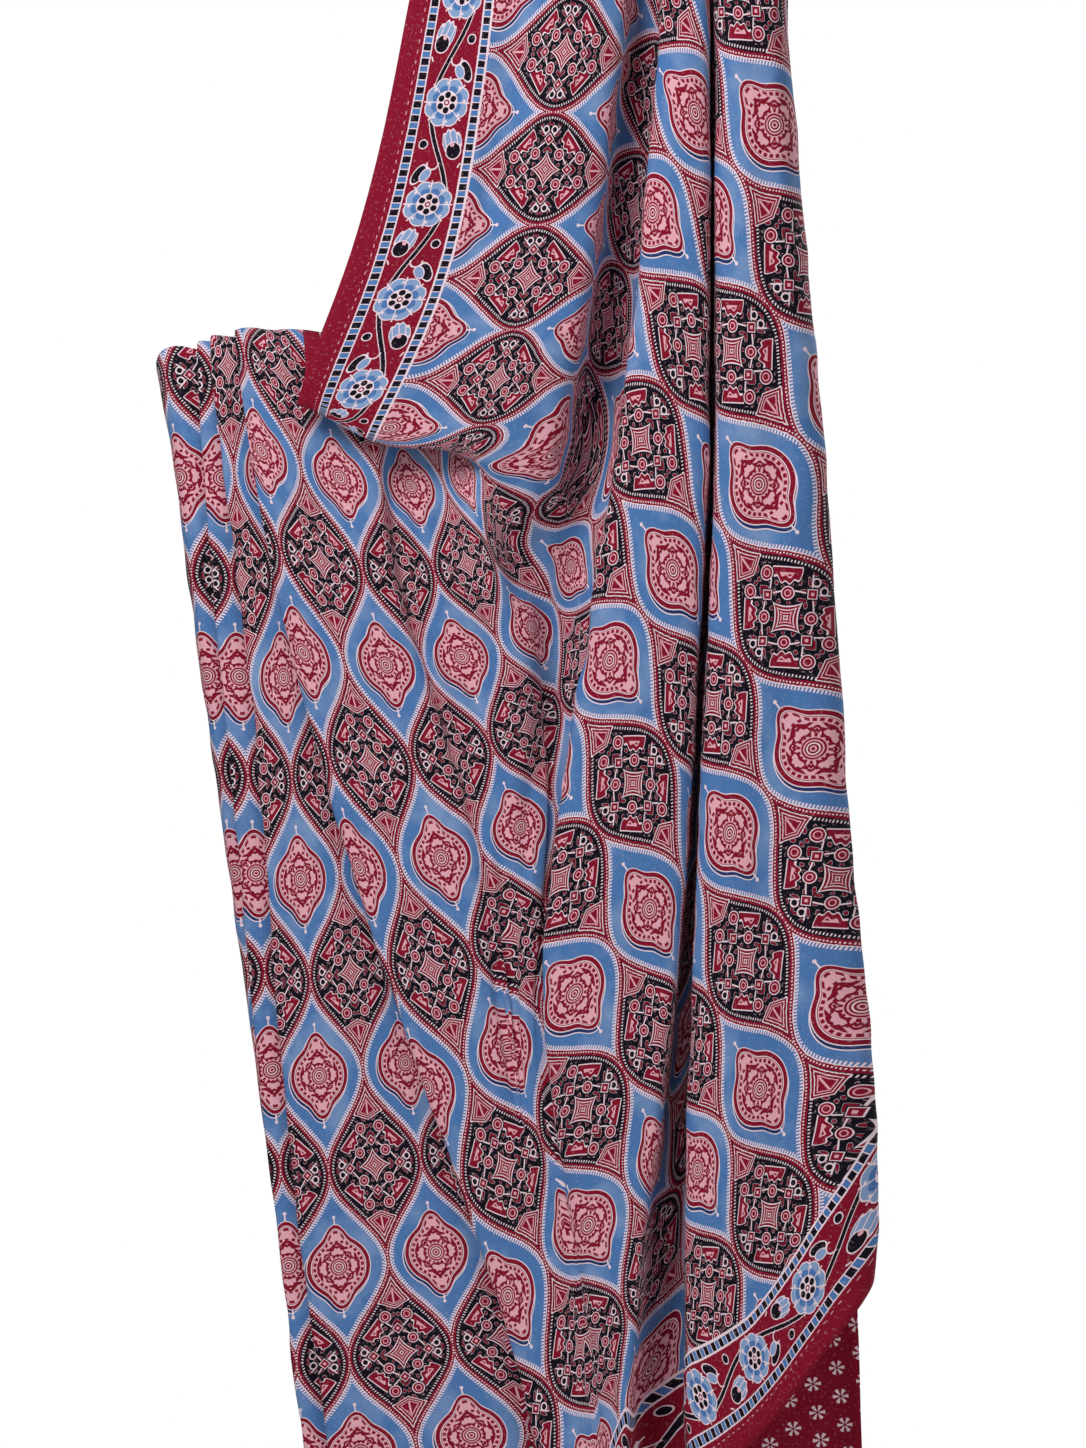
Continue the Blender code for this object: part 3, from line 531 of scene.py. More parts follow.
# The distance along the cloth, scaled and moved so that the border's flowers come at their places.
def flowerRun(grid, out, along, name, front):
    spots = np.array(printing["places"][name], dtype=float)
    inBorder = (out > 20) & (out < 70)
    inBorder[:front] = False
    found = []
    for spot in spots:
        gap = (grid[..., 0] - spot[2]) ** 2 + (grid[..., 2] - spot[3]) ** 2 + np.where(inBorder, 0, 1e6)
        found.append(along[np.unravel_index(gap.argmin(), gap.shape)])
    rate, start = np.polyfit(found, spots[:, 0] * printing["flowerPitch"], 1)
    print(f"border by {name}: {rate:.2f} of the cloth's own length")
    return along * rate + start


# Above the flap's first rows the fitted map goes on straight, so that the tail keeps an even print.
def carryUp(flatX, drop, count, answer):
    level, over = printing["steadyAbove"], printing["slopeOver"]
    near = terms(flatX, np.maximum(drop, level), count) @ answer
    base = terms(flatX, np.full_like(drop, level), count) @ answer
    below = terms(flatX, np.full_like(drop, level + over), count) @ answer
    return near + (below - base) / over * np.minimum(drop - level, 0)[..., None]


# Number along and row, made millimetres across and along the flat cloth.
def toMillimetres(number):
    return np.stack([printing["firstRow"] + printing["rowPitch"] * (number[..., 1] - 1),
                     printing["repeat"] * number[..., 0]], axis=-1)


# Each column takes its own fold's print; between two folds the hidden cloth shares them out.
def blendAcross(columns, maps, reach):
    result = np.zeros_like(maps[0])
    for index, (low, high) in enumerate(reach):
        share = np.ones(len(columns))
        if index:
            before = reach[index - 1][1]
            share = share * np.clip((columns - before) / max(low - before, 1e-6), 0, 1)
        if index < len(reach) - 1:
            after = reach[index + 1][0]
            share = share * np.clip((after - columns) / max(after - high, 1e-6), 0, 1)
        result += maps[index] * share[None, :, None]
    return result


# Distance across the flap from its free edge; the border keeps its full width at the flap's first fold.
def flapAcross(upper):
    border = flapColumn("panel lip left")
    lengths = rowLengths(upper)
    width = lengths[:, border:border + 1]
    inward = lengths - width
    return printing["borderWidth"] + np.where(
        inward < 0, printing["borderWidth"] * inward / np.maximum(width, 1), inward)


def flapPrint(upper, drop, frontIndex):
    across = flapAcross(upper)
    front = (slice(frontIndex, None), slice(0, flapColumn("flap lip") + 3))
    found, target = motifPlaces("flap", upper[..., 0][front], upper[..., 2][front], across[front])
    return carryUp(across, drop, 5, fitMap("flap", found, target, 5, printing["flapSteady"]))


# The inner layer: its print runs on round the left fold, away from the front, to the end panel.
def innerEnd(flat, lengths, places):
    fold = int(np.argmin(np.abs(places - lineNames.index("left fold"))))
    gone = lengths[:, fold:fold + 1] - lengths[:, :fold]
    share = np.clip(gone / printing["innerBlend"], 0, 1)
    across, along = flat[:, fold:fold + 1, 0], flat[:, fold:fold + 1, 1]
    flat[:, :fold, 1] = (along - gone) * (1 - share) + (printing["endAt"] + lengths[:, :fold]) * share
    flat[:, :fold, 0] = across
    return flat


# soft creases laid on the folds: across, drop, angle from upright, length, width, height
creases = {
    "rows": (
        (-300, 372, 8, 60, 7, 1.6), (-262, 380, -12, 70, 9, -1.8), (-238, 372, 10, 60, 8, 1.8),
        (-246, 430, 24, 90, 9, 1.6), (-205, 470, 18, 110, 10, -1.8), (-184, 520, 14, 120, 9, 1.8),
        (-232, 560, 20, 130, 12, 1.6), (-196, 640, 16, 150, 13, -1.8), (-150, 610, 22, 120, 10, 1.6),
        (-120, 560, 30, 90, 9, -2.0), (-96, 540, 36, 80, 8, 1.8), (-70, 520, 52, 70, 9, -2.0),
        (-108, 700, 20, 150, 12, 1.8), (-150, 800, 16, 190, 15, -2.0), (-60, 760, 14, 150, 11, 1.6),
        (-84, 900, 18, 180, 14, 1.8), (-190, 900, 10, 200, 15, 1.8), (-160, 1010, 8, 200, 15, -1.8),
        (-110, 1100, 14, 200, 13, 1.8), (-60, 1060, 20, 150, 11, -1.6), (-140, 1200, 8, 180, 14, 1.6),
        (-100, 230, -6, 160, 12, 1.6), (-70, 330, -14, 90, 10, -1.6), (-150, 300, -16, 80, 9, 1.4),
        (-60, 400, 62, 60, 8, 1.8), (-100, 404, 74, 70, 8, -1.6), (-20, 300, 4, 160, 11, 1.8),
        (60, 300, 2, 220, 9, -1.2), (110, 260, -4, 240, 12, 1.8), (128, 480, -6, 240, 12, -1.8),
        (112, 640, -4, 220, 13, 1.8), (170, 700, -6, 200, 12, 1.6), (140, 820, 6, 200, 15, -2.0),
        (176, 930, 14, 160, 13, 1.8), (110, 960, 10, 180, 13, 1.8), (150, 1020, 34, 140, 14, -2.0),
        (120, 1100, 30, 120, 12, 1.6), (20, 640, 4, 200, 10, 1.6), (30, 800, 10, 160, 11, -1.8),
        (20, 190, -8, 260, 13, -5.0), (-6, 420, -12, 280, 13, -6.0), (-44, 660, -9, 300, 13, -6.0),
        (-64, 850, 0, 240, 13, -5.0), (-58, 512, 28, 160, 15, -6.0), (-30, 470, 30, 120, 11, 3.0),
        (0, 930, 10, 160, 12, 1.8), (40, 1000, 10, 140, 10, -1.6), (-6, 1080, 6, 140, 9, 1.6),
    ),
    "strength": 1.35,
    # small unevenness all over: height in mm, number of waves, their least and greatest length, their tilt
    "cockle": 0.35, "waves": 10, "waveLengths": (26, 90), "tilt": 0.6, "seed": 11,
}


# Each crease is a bell across its width and a longer bell along it; the cockle is a sum of slow waves.
def creaseHeights(x, drop):
    height = np.zeros_like(x)
    for acrossAtMiddle, dropAtMiddle, angle, length, width, rise in creases["rows"]:
        turn = math.radians(angle)
        along = (drop - dropAtMiddle) * math.cos(turn) + (x - acrossAtMiddle) * math.sin(turn)
        side = (x - acrossAtMiddle) * math.cos(turn) - (drop - dropAtMiddle) * math.sin(turn)
        height += creases["strength"] * rise * np.exp(-(side / width) ** 2 - (2 * along / length) ** 2)
    chance = np.random.default_rng(creases["seed"])
    for _ in range(creases["waves"]):
        size = chance.uniform(*creases["waveLengths"])
        turn = chance.uniform(-creases["tilt"], creases["tilt"])
        phase = chance.uniform(0, 6.28)
        forward = np.sin((x * math.cos(turn) + drop * math.sin(turn)) * 6.28 / size + phase)
        sideways = np.sin((drop * math.cos(turn) - x * math.sin(turn)) * 2.4 / size + phase * 2)
        height += creases["cockle"] * forward * sideways
    return height


# Moves each point along the grid's own normal by its crease height.
def creased(grid):
    right = np.gradient(grid, axis=1)
    down = np.gradient(grid, axis=0)
    normal = np.cross(right, down)
    normal /= np.maximum(np.linalg.norm(normal, axis=2, keepdims=True), 1e-9)
    return grid + normal * creaseHeights(grid[..., 0], grid[..., 2])[..., None]


def buildCloth():
    lower, upper, tuck, places, downUpper, first, start = clothGrids()
    lowerFlat, upperFlat, tuckFlat = flatCoordinates(lower, upper, tuck, places, downUpper, first, start)
    frontIndex = int(np.argmin(np.abs(downUpper - frontRow)))
    edges = edgeCoordinates(lower, upper, tuck, lowerFlat, upperFlat, frontIndex)
    lower = creased(lower)
    upper = creased(upper)
    upper[-1] = lower[0, first:]
    tuck[-1] = lower[0, start:first]

    kept = [np.ones((len(grid) - 1, grid.shape[1] - 1), dtype=bool) for grid in (lower, upper, tuck)]
    kept[1][:frontIndex, flapColumn("right fold"):] = False  # the tail ends at the right fold

    points, quads, flats, outs, count = [], [], [], [], 0
    for grid, flat, edge, keep in zip((lower, upper, tuck), (lowerFlat, upperFlat, tuckFlat), edges, kept):
        number = count + np.arange(grid.shape[0] * grid.shape[1]).reshape(grid.shape[:2])
        corner = np.stack([number[:-1, :-1], number[1:, :-1], number[1:, 1:], number[:-1, 1:]], axis=2)
        quads.append(corner[keep])
        points.append(grid.reshape(-1, 3))
        flats.append(flat.reshape(-1, 2))
        outs.append(edge.reshape(-1, 2))
        count += number.size
    points = np.concatenate(points) * (millimetre, millimetre, -millimetre)
    quads = np.concatenate(quads)

    # shared edges become one row of points; each corner keeps its own place on the flat cloth
    microns = np.round(points * 1e6).astype(np.int64)
    firstSeen, merged = np.unique(microns, axis=0, return_index=True, return_inverse=True)[1:]
    merged = merged.reshape(-1)
    used = np.unique(merged[quads])
    renumber = np.zeros(len(firstSeen), dtype=int)
    renumber[used] = np.arange(len(used))
    mesh = bpy.data.meshes.new("ajrakhCloth")
    mesh.from_pydata(points[firstSeen[used]].tolist(), [], renumber[merged[quads]].tolist())
    for name, values in (("flatCloth", flats), ("sideEdge", outs)):
        values = np.concatenate(values) * millimetre
        layer = mesh.uv_layers.new(name=name)
        layer.data.foreach_set("uv", values[quads.reshape(-1)].astype(np.float32).ravel())
    mesh.polygons.foreach_set("use_smooth", np.ones(len(mesh.polygons), dtype=bool))
    out, along = np.concatenate(outs)[quads][..., 0], np.concatenate(flats)[quads][..., 1]
    # faces clear of the border and of the end panel, by two millimetres, take the lighter material
    inField = out.min(axis=1) > printing["borderWidth"] + 2
    inField &= along.min(axis=1) > printing["endAt"] + printing["panelWidth"] + 2
    mesh.polygons.foreach_set("material_index", np.where(inField, 0, 1).astype(np.int32))
    mesh.update()
    cloth = bpy.data.objects.new("ajrakhCloth", mesh)
    bpy.context.scene.collection.objects.link(cloth)
    wall = cloth.modifiers.new("cloth thickness", "SOLIDIFY")
    wall.thickness = folds["thickness"] * millimetre
    wall.offset = 0.0
    wall.use_quality_normals = True
    print(f"cloth: {len(quads)} faces on the middle surface")
    return cloth


dyes = {
    "blue": (0.085, 0.215, 0.50), "blueDeep": (0.015, 0.04, 0.15), "bluePale": (0.27, 0.40, 0.66),
    "madder": (0.27, 0.005, 0.026), "rose": (0.90, 0.46, 0.54),
    "pale": (0.96, 0.76, 0.83), "ink": (0.007, 0.004, 0.011),
}


# A number in the node tree: each sum or comparison on it adds a Math node.
class Amount:
    def __init__(self, tree, socket):
        self.tree = tree
        self.socket = socket

    def do(self, operation, *others):
        node = self.tree.nodes.new("ShaderNodeMath")
        node.operation = operation
        for slot, item in zip(node.inputs, (self, *others)):
            if isinstance(item, Amount):
                self.tree.links.new(item.socket, slot)
            else:
                slot.default_value = float(item)
        return Amount(self.tree, node.outputs[0])

    __add__ = partialmethod(do, "ADD")
    __sub__ = partialmethod(do, "SUBTRACT")
    __rsub__ = partialmethod(do, "MULTIPLY_ADD", -1.0)
    __mul__ = __rmul__ = partialmethod(do, "MULTIPLY")
    __truediv__ = partialmethod(do, "DIVIDE")
    below = partialmethod(do, "LESS_THAN")
    above = partialmethod(do, "GREATER_THAN")
    within = partialmethod(do, "COMPARE")  # of a middle value and half a width
    size = partialmethod(do, "ABSOLUTE")
    least = partialmethod(do, "MINIMUM")
    most = partialmethod(do, "MAXIMUM")
    sine = partialmethod(do, "SINE")
    cosine = partialmethod(do, "COSINE")
    root = partialmethod(do, "SQRT")
    floor = partialmethod(do, "FLOOR")
    power = partialmethod(do, "POWER")
    angleTo = partialmethod(do, "ARCTAN2")
    folded = partialmethod(do, "PINGPONG")

    def wrapped(self, low, high):
        return self.do("WRAP", high, low)


def distance(x, y):
    return (x * x + y * y).root()


def turned(x, y, angle):
    c, s = math.cos(angle), math.sin(angle)
    return x * c + y * s, y * c - x * s


# Distance to a straight stroke between two points.
def stroke(x, y, a, b):
    spanX, spanY = b[0] - a[0], b[1] - a[1]
    square = spanX ** 2 + spanY ** 2
    x, y = x - a[0], y - a[1]
    share = (x * (spanX / square) + y * (spanY / square)).least(1.0).most(0.0)
    return distance(x - share * spanX, y - share * spanY)


# Distance from the wavy line between ovals and medallions: its reach along the cloth is a raised
# cosine of the distance across, evened by the line's slope. It is above nought inside the blue oval.
def ovalEdge(a, b):
    turn = math.pi / (printing["rowPitch"] / 2)
    angle = b * turn
    quarter = printing["repeat"] / 4
    slope = angle.sine() * (quarter * turn)
    return (angle.cosine() * quarter + quarter - a) / (slope * slope + 1).root()


# Distance inside the onion-shaped rose: a circle that swells to a point at its two tips.
def onionDepth(a, b, size):
    radius = distance(a * field["roseStretch"], b)
    lift = (b / radius.most(1.0)).power(field["tipSharpness"])
    return lift * field["tipLength"] + size - radius


# Colour laid over colour: each step covers the last where its mask is one.
class Print:
    def __init__(self, tree, colour):
        self.tree = tree
        node = tree.nodes.new("ShaderNodeRGB")
        node.outputs[0].default_value = (*dyes[colour], 1)
        self.last = node.outputs[0]

    def lay(self, mask, colour):
        node = self.tree.nodes.new("ShaderNodeMix")
        node.data_type = "RGBA"
        self.tree.links.new(mask.socket, node.inputs[0])
        self.tree.links.new(self.last, node.inputs[6])
        if isinstance(colour, str):
            node.inputs[7].default_value = (*dyes[colour], 1)
        else:
            self.tree.links.new(colour, node.inputs[7])
        self.last = node.outputs[2]

    # A spot up to a distance, in one dye, with a pale rim round it.
    def rimmed(self, value, size, rim, colour):
        self.lay(value.below(size + rim), "pale")
        self.lay(value.below(size), colour)

    # Bands of colour by distance. The text holds each band's start and dye in turn, and then the end, or
    # the end and "onward" where the last dye goes on past it.
    def bands(self, value, text, mask=None):
        words = text.split()
        places, colours = [float(word) for word in words[::2]], words[1::2]
        start, end = places[0], places[-1]
        ramp = self.tree.nodes.new("ShaderNodeValToRGB")
        ramp.color_ramp.interpolation = "CONSTANT"
        self.tree.links.new(((value - start) * (1 / (end - start))).socket, ramp.inputs[0])
        stops = ramp.color_ramp.elements
        stops.remove(stops[1])
        stops[0].position, stops[0].color = 0.0, (*dyes[colours[0]], 1)
        for place, colour in zip(places[1:-1], colours[1:]):
            stops.new((place - start) / (end - start)).color = (*dyes[colour], 1)
        inside = value.above(start) if colours[-1] == "onward" else value.below(end)
        self.lay(inside if mask is None else inside * mask, ramp.outputs[0])


# millimetres on the flat cloth
field = {
    "band": 2.3,  # half the madder band between blue and ink
    "tick": 2.9,  # from tick to tick along both combs
    "scroll": "0.66 pale 0.72 ink 0.80 madder 1.01 onward",
    "leaf": "-0.7 pale 0 madder 1.6 pale 2.2 madder 3.6 rose 4.3 madder 12 onward",
    "star": "0 madder 1.3 pale 2.0 madder 3.1 rose 3.7 madder 4.7 pale 5.2 madder 6.3 pale 6.9 ink 7.6",
    "crownAt": (19.5, 20.0), "crownTurn": 0.78,
    "crown": "0 rose 2.6 madder 4.4 rose 5.6 madder 8.7 pale 9.5 ink 10.8",
    "rosettes": ((9.0, 31.5, 4.9), (11.5, 11.5, 4.5)),  # place and radius
    "rosette": "-9 madder -2.9 rose -2.2 madder -0.7 pale 0 ink 1",
    "stems": (((2.0, 20.0), (9.0, 26.0)), ((22.0, 0.0), (31.0, 9.0)),
              ((21.0, 2.0), (16.0, 9.0)), ((3.5, 19.0), (9.0, 15.5))),
    "stemRing": (29.5, 4.0, 2.6),
    "bud": "0 rose 1.5 madder 3.9 pale 4.7 ink 6.0",
    "roseSize": 24.6,  # the rose's round part
    "roseStretch": 77 / 84, "tipSharpness": 22.0, "tipLength": 10.5,
    "roseSlip": (1.4, -2.0),  # how far off its second outline was printed
    "spike": (32.0, 41.0), "spikeDot": 1.4,
    "roseRim": "-0.7 pale 0 madder 3.0 pale 3.7 madder 4.2 rose 30 onward",
    "roseEye": "0 madder 1.0 rose 1.9 madder 3.0 pale 3.8 madder 4.8 rose 5.6 madder 6.8",
}


# One quarter of the repeat, mirrored four ways: the blue oval at its corner, the ink medallion opposite.
def fieldPrint(tree, along, across, wobble, cloud):
    halfRepeat, halfPitch = printing["repeat"] / 2, printing["rowPitch"] / 2
    a = along.folded(halfRepeat)
    b = (across - printing["firstRow"]).size().folded(halfPitch)
    c, d = halfRepeat - a, halfPitch - b
    edge = ovalEdge(a, b) + wobble
    blue = edge - field["band"]
    ink = -1.0 * edge - field["band"]
    ground = Print(tree, "madder")

    # along the edge: pale dots on the band, a comb on either side of it
    run = (b - a * 0.5) * (1.15 * 2 * math.pi / field["tick"])
    teeth = run.sine()
    ground.lay(edge.within(0.0, 0.55) * teeth.above(0.15), "pale")

    # ink medallion
    ground.lay(ink.above(0.0), "ink")
    ground.lay(ink.within(1.9, 0.9) * teeth.above(0.35), "pale")

    # arabesque ground: small madder islands with pale outlines between the main figures
    scroll = (c * 0.5 + (d * 0.27).sine() * 1.1).sine() * (d * 0.46 + (c * 0.36).sine() * 1.2).cosine()
    ground.bands(scroll.size(), field["scroll"], ink.above(5.0))

    # pointed leaf in each tip of the ink medallion, and a concave four-pointed star at its middle
    leaf = (ink - 1.2).least((d - 38) * 1.1 - c * 0.5)
    ground.bands(leaf, field["leaf"])
    ground.lay(leaf.above(4.6) * c.within(0.0, 0.7), "rose")
    ground.bands(c.power(0.72) + d.power(0.72), field["star"])

    # half-flower crowns on the diagonals
    u, v = turned(c - field["crownAt"][0], d - field["crownAt"][1], field["crownTurn"])
    ground.bands((distance(u - 4.0, v * 0.9) + (v * 1.1).sine() * 0.9).most(u + 4.2), field["crown"])

    # rosettes, the curling stems between them and a bud on each axis
    for x, y, radius in field["rosettes"]:
        ground.bands(distance(c - x, d - y) - radius, field["rosette"])
    x, y, radius = field["stemRing"]
    stems = (distance(c - x, d - y) - radius).size()
    for start, end in field["stems"]:
        stems = stems.least(stroke(c, d, start, end))
    ground.lay(stems.below(0.5), "pale")
    ground.bands((c.size() + (d - 20.5).size()).least((c - 22.5).size() + d), field["bud"])

    # blue oval with its comb, a little paler here and there
    ground.lay(blue.above(0.0), "blue")
    ground.lay(blue.above(0.0) * cloud, "bluePale")
    ground.lay(blue.within(1.2, 1.5) * teeth.above(0.0), "pale")
    ground.lay(blue.within(-0.3, 0.35), "pale")

    # its rose: pale and madder outlines, a spike at each tip, and a slipped second outline
    size = field["roseSize"]
    slipAlong, slipAcross = field["roseSlip"]
    shiftedAlong = (along.wrapped(-halfRepeat, halfRepeat) + slipAlong).size()
    shiftedAcross = ((across - printing["firstRow"]).wrapped(-halfPitch, halfPitch) + slipAcross).size()
    slipped = onionDepth(shiftedAlong, shiftedAcross, size + 0.9)
    ground.lay(slipped.above(0.0), "blueDeep")
    ground.lay(slipped.within(0.0, 0.4), "pale")
    rose = onionDepth(a, b, size)
    start, end = field["spike"]
    ground.lay(stroke(a, b, (0.0, start), (0.0, end)).below(0.6), "pale")
    ground.lay(distance(a, b - end - 0.5).below(field["spikeDot"]), "pale")
    ground.bands(rose, field["roseRim"])
    # petals in rings: each ring's radius swells four, eight or twenty-eight times round the middle
    radius = distance(a * 0.92, b * 0.94)
    angle = b.angleTo(a)
    four, eight, spokes = ((angle * count).cosine() for count in (4, 8, 28))
    inner = rose.above(7.8)
    for ring in (rose.within(6.0, 1.15) * spokes.above(-0.35),
                 inner * (radius - four * 2.4 + spokes * 0.5).within(13.4, 1.1),
                 inner * (radius + four * 2.2 - eight).within(10.6, 0.85),
                 inner * (radius - eight * 1.5).within(16.7, 1.1),
                 inner * radius.within(19.6, 1.0) * spokes.above(-0.2),
                 radius.within(8.6, 1.2) * (angle * 16).cosine().above(0.0)):
        ground.lay(ring, "madder")
    ground.bands(radius, field["roseEye"])
    return ground.last


border = {
    "firstChecks": (19.5, 25.6), "vine": (26.6, 64.4), "lastChecks": (65.8, 71.2),
    "square": 4.9, "sway": 11.5, "flowerRadius": 14.8, "stitching": 15.0,
    "bud": (9.0, 46.0, 0.35), "leaf": (-11.5, 22.0, -0.5),  # place in from the middle, along, and turn
}


# The side border: plain edge, checks, the flowering vine, checks. "out" counts in from the edge.
def borderPrint(tree, along, out):
    band = Print(tree, "madder")
    low, high = border["vine"]
    pitch, radius = printing["flowerPitch"], border["flowerRadius"]
    step = along * (1 / pitch)
    flip = step.floor().do("MODULO", 2.0).size() * -2.0 + 1.0
    x = out - (low + high) / 2
    y = along.wrapped(0.0, pitch)
    sided = x * flip
    # vine: a cosine that crosses from one side to the other between flowers
    lean = (step * math.pi).sine() * (border["sway"] * math.pi / pitch)
    vine = (x - (step * math.pi).cosine() * border["sway"]).size() / (lean * lean + 1).root()
    band.rimmed(vine, 1.4, 0.6, "ink")
    # bud: pale-blue bell on an ink cup
    atX, atY, turn = border["bud"]
    u, v = turned(sided - atX, y - atY, turn)
    bell = distance(u * 0.95, v * 0.72) + (u * 1.6).sine() * 0.5
    band.rimmed(bell, 6.1, 0.9, "bluePale")
    band.lay(u.folded(2.2).below(0.35) * bell.below(6.1), "pale")
    band.rimmed(distance(u, (v + 6.5) * 0.9), 5.2, 0.8, "ink")
    band.lay(distance(u, v + 2.0).below(1.6), "rose")
    # a pair of small leaves, a comma and a hook across the vine
    atX, atY, turn = border["leaf"]
    u, v = turned(sided - atX, y - atY, turn)
    band.rimmed(distance(u * 1.5, v * 0.75), 5.4, 1.0, "ink")
    band.rimmed(distance((u - 4.5) * 1.35, (v - 2.0) * 0.85), 4.0, 0.9, "bluePale")
    band.rimmed(distance(sided + 12.5, y - 44), 2.8, 0.8, "ink")
    hook = (distance(sided + 2.5, y - 30) - 4.2).size().least(stroke(sided, y, (16.5, 28.0), (19.0, 33.0)))
    band.lay(hook.below(0.55) * y.below(31.0), "pale")
    # flower at every pitch: four double petals, dots on their rims, six ink eyes in a pale middle
    fromFlower = along.wrapped(-pitch / 2, pitch / 2)
    around = x.angleTo(fromFlower)
    away = distance(x, fromFlower)
    lobes = (around * 4).sine().size()
    head = away - lobes * 2.0
    band.rimmed(head, radius, 0.9, "bluePale")
    band.lay(head.below(radius - 4.5), "blue")
    band.lay(lobes.below(0.13) * away.within(12.8, 5.0), "pale")
    band.lay((around * 8 + 0.8).cosine().above(0.82) * away.within(13.6, 0.9), "pale")
    band.lay(away.below(8.4), "pale")
    sixth = around.wrapped(-math.pi / 6, math.pi / 6)
    band.lay(distance(away * sixth.cosine() - 5.4, away * sixth.sine()).below(2.3), "ink")
    band.lay(away.within(1.6, 0.5), "madder")
    # plain edge with its line of dashes, and the two rows of checks
    band.lay(out.below(low), "madder")
    band.lay(out.above(high), "pale")
    band.lay(out.within(border["stitching"], 0.3) * (along * 0.9).sine().above(0.4), "rose")
    for start, end in (border["firstChecks"], border["lastChecks"]):
        middle, half = (start + end) / 2, (end - start) / 2
        band.lay(out.within(middle, half + 1.0), "pale")
        cell = out.within(middle, half)
        place = along.wrapped(0.0, border["square"] * 2)
        band.lay(cell * place.within(border["square"] * 0.5, 2.3), "ink")
        band.lay(cell * place.within(border["square"] * 1.5, 1.9), "blue")
    return band.last


endPanel = {
    "turn": 0.6, "rowApart": 21.0, "starApart": 23.0, "checksFrom": 1075.0, "check": 9.0,
}


# The end panel: small six-petalled stars in offset rows on plain madder, and a checked edge.
def endPrint(tree, along, across):
    panel = Print(tree, "madder")
    u, v = turned(along, across, endPanel["turn"])
    rowApart, half, check = endPanel["rowApart"], endPanel["starApart"] / 2, endPanel["check"]
    x = (u + (v / rowApart).floor() * half).wrapped(-half, half)
    y = v.wrapped(0.0, rowApart) - rowApart / 2
    rays = (x.angleTo(y) * 3).cosine().size().above(0.72)
    panel.lay(distance(x, y).within(3.7, 2.5) * rays, "pale")
    edge = across.above(endPanel["checksFrom"])
    panel.lay(edge, "pale")
    panel.lay(edge * across.folded(check).within(check / 2, 2.6) * along.folded(4.0).below(2.4), "ink")
    panel.lay(edge * across.folded(check).below(1.2), "blue")
    return panel.last


finish = {
    "roughness": 0.78, "patchyRoughness": 0.12, "specular": 0.12, "sheen": 0.03, "sheenRoughness": 0.5,
    "threads": 0.55,  # mm from thread to thread
    "weaveDepth": 0.00012, "weaveStrength": 0.35,
    # the blocks are never laid quite true, so the print wanders a little, in metres
    "wander": 0.0022, "wanderScale": 28.0,
    "raggedness": 1.2, "raggedScale": 420.0,  # mm; unevenness of the blocks' edges
    "cloudScale": 24.0, "paling": 0.75, "palestGrain": 0.14,  # uneven dye
}


def noise(tree, place, scale, detail):
    node = tree.nodes.new("ShaderNodeTexNoise")
    node.inputs["Scale"].default_value = scale
    node.inputs["Detail"].default_value = detail
    tree.links.new(place, node.inputs["Vector"])
    return node


# The two numbers of a UV map, or of any vector, each times a factor.
def split(tree, vector, factor):
    node = tree.nodes.new("ShaderNodeSeparateXYZ")
    tree.links.new(vector, node.inputs[0])
    return [Amount(tree, output) * factor for output in node.outputs[:2]]


def uvMap(tree, name):
    node = tree.nodes.new("ShaderNodeUVMap")
    node.uv_map = name
    return node.outputs[0]


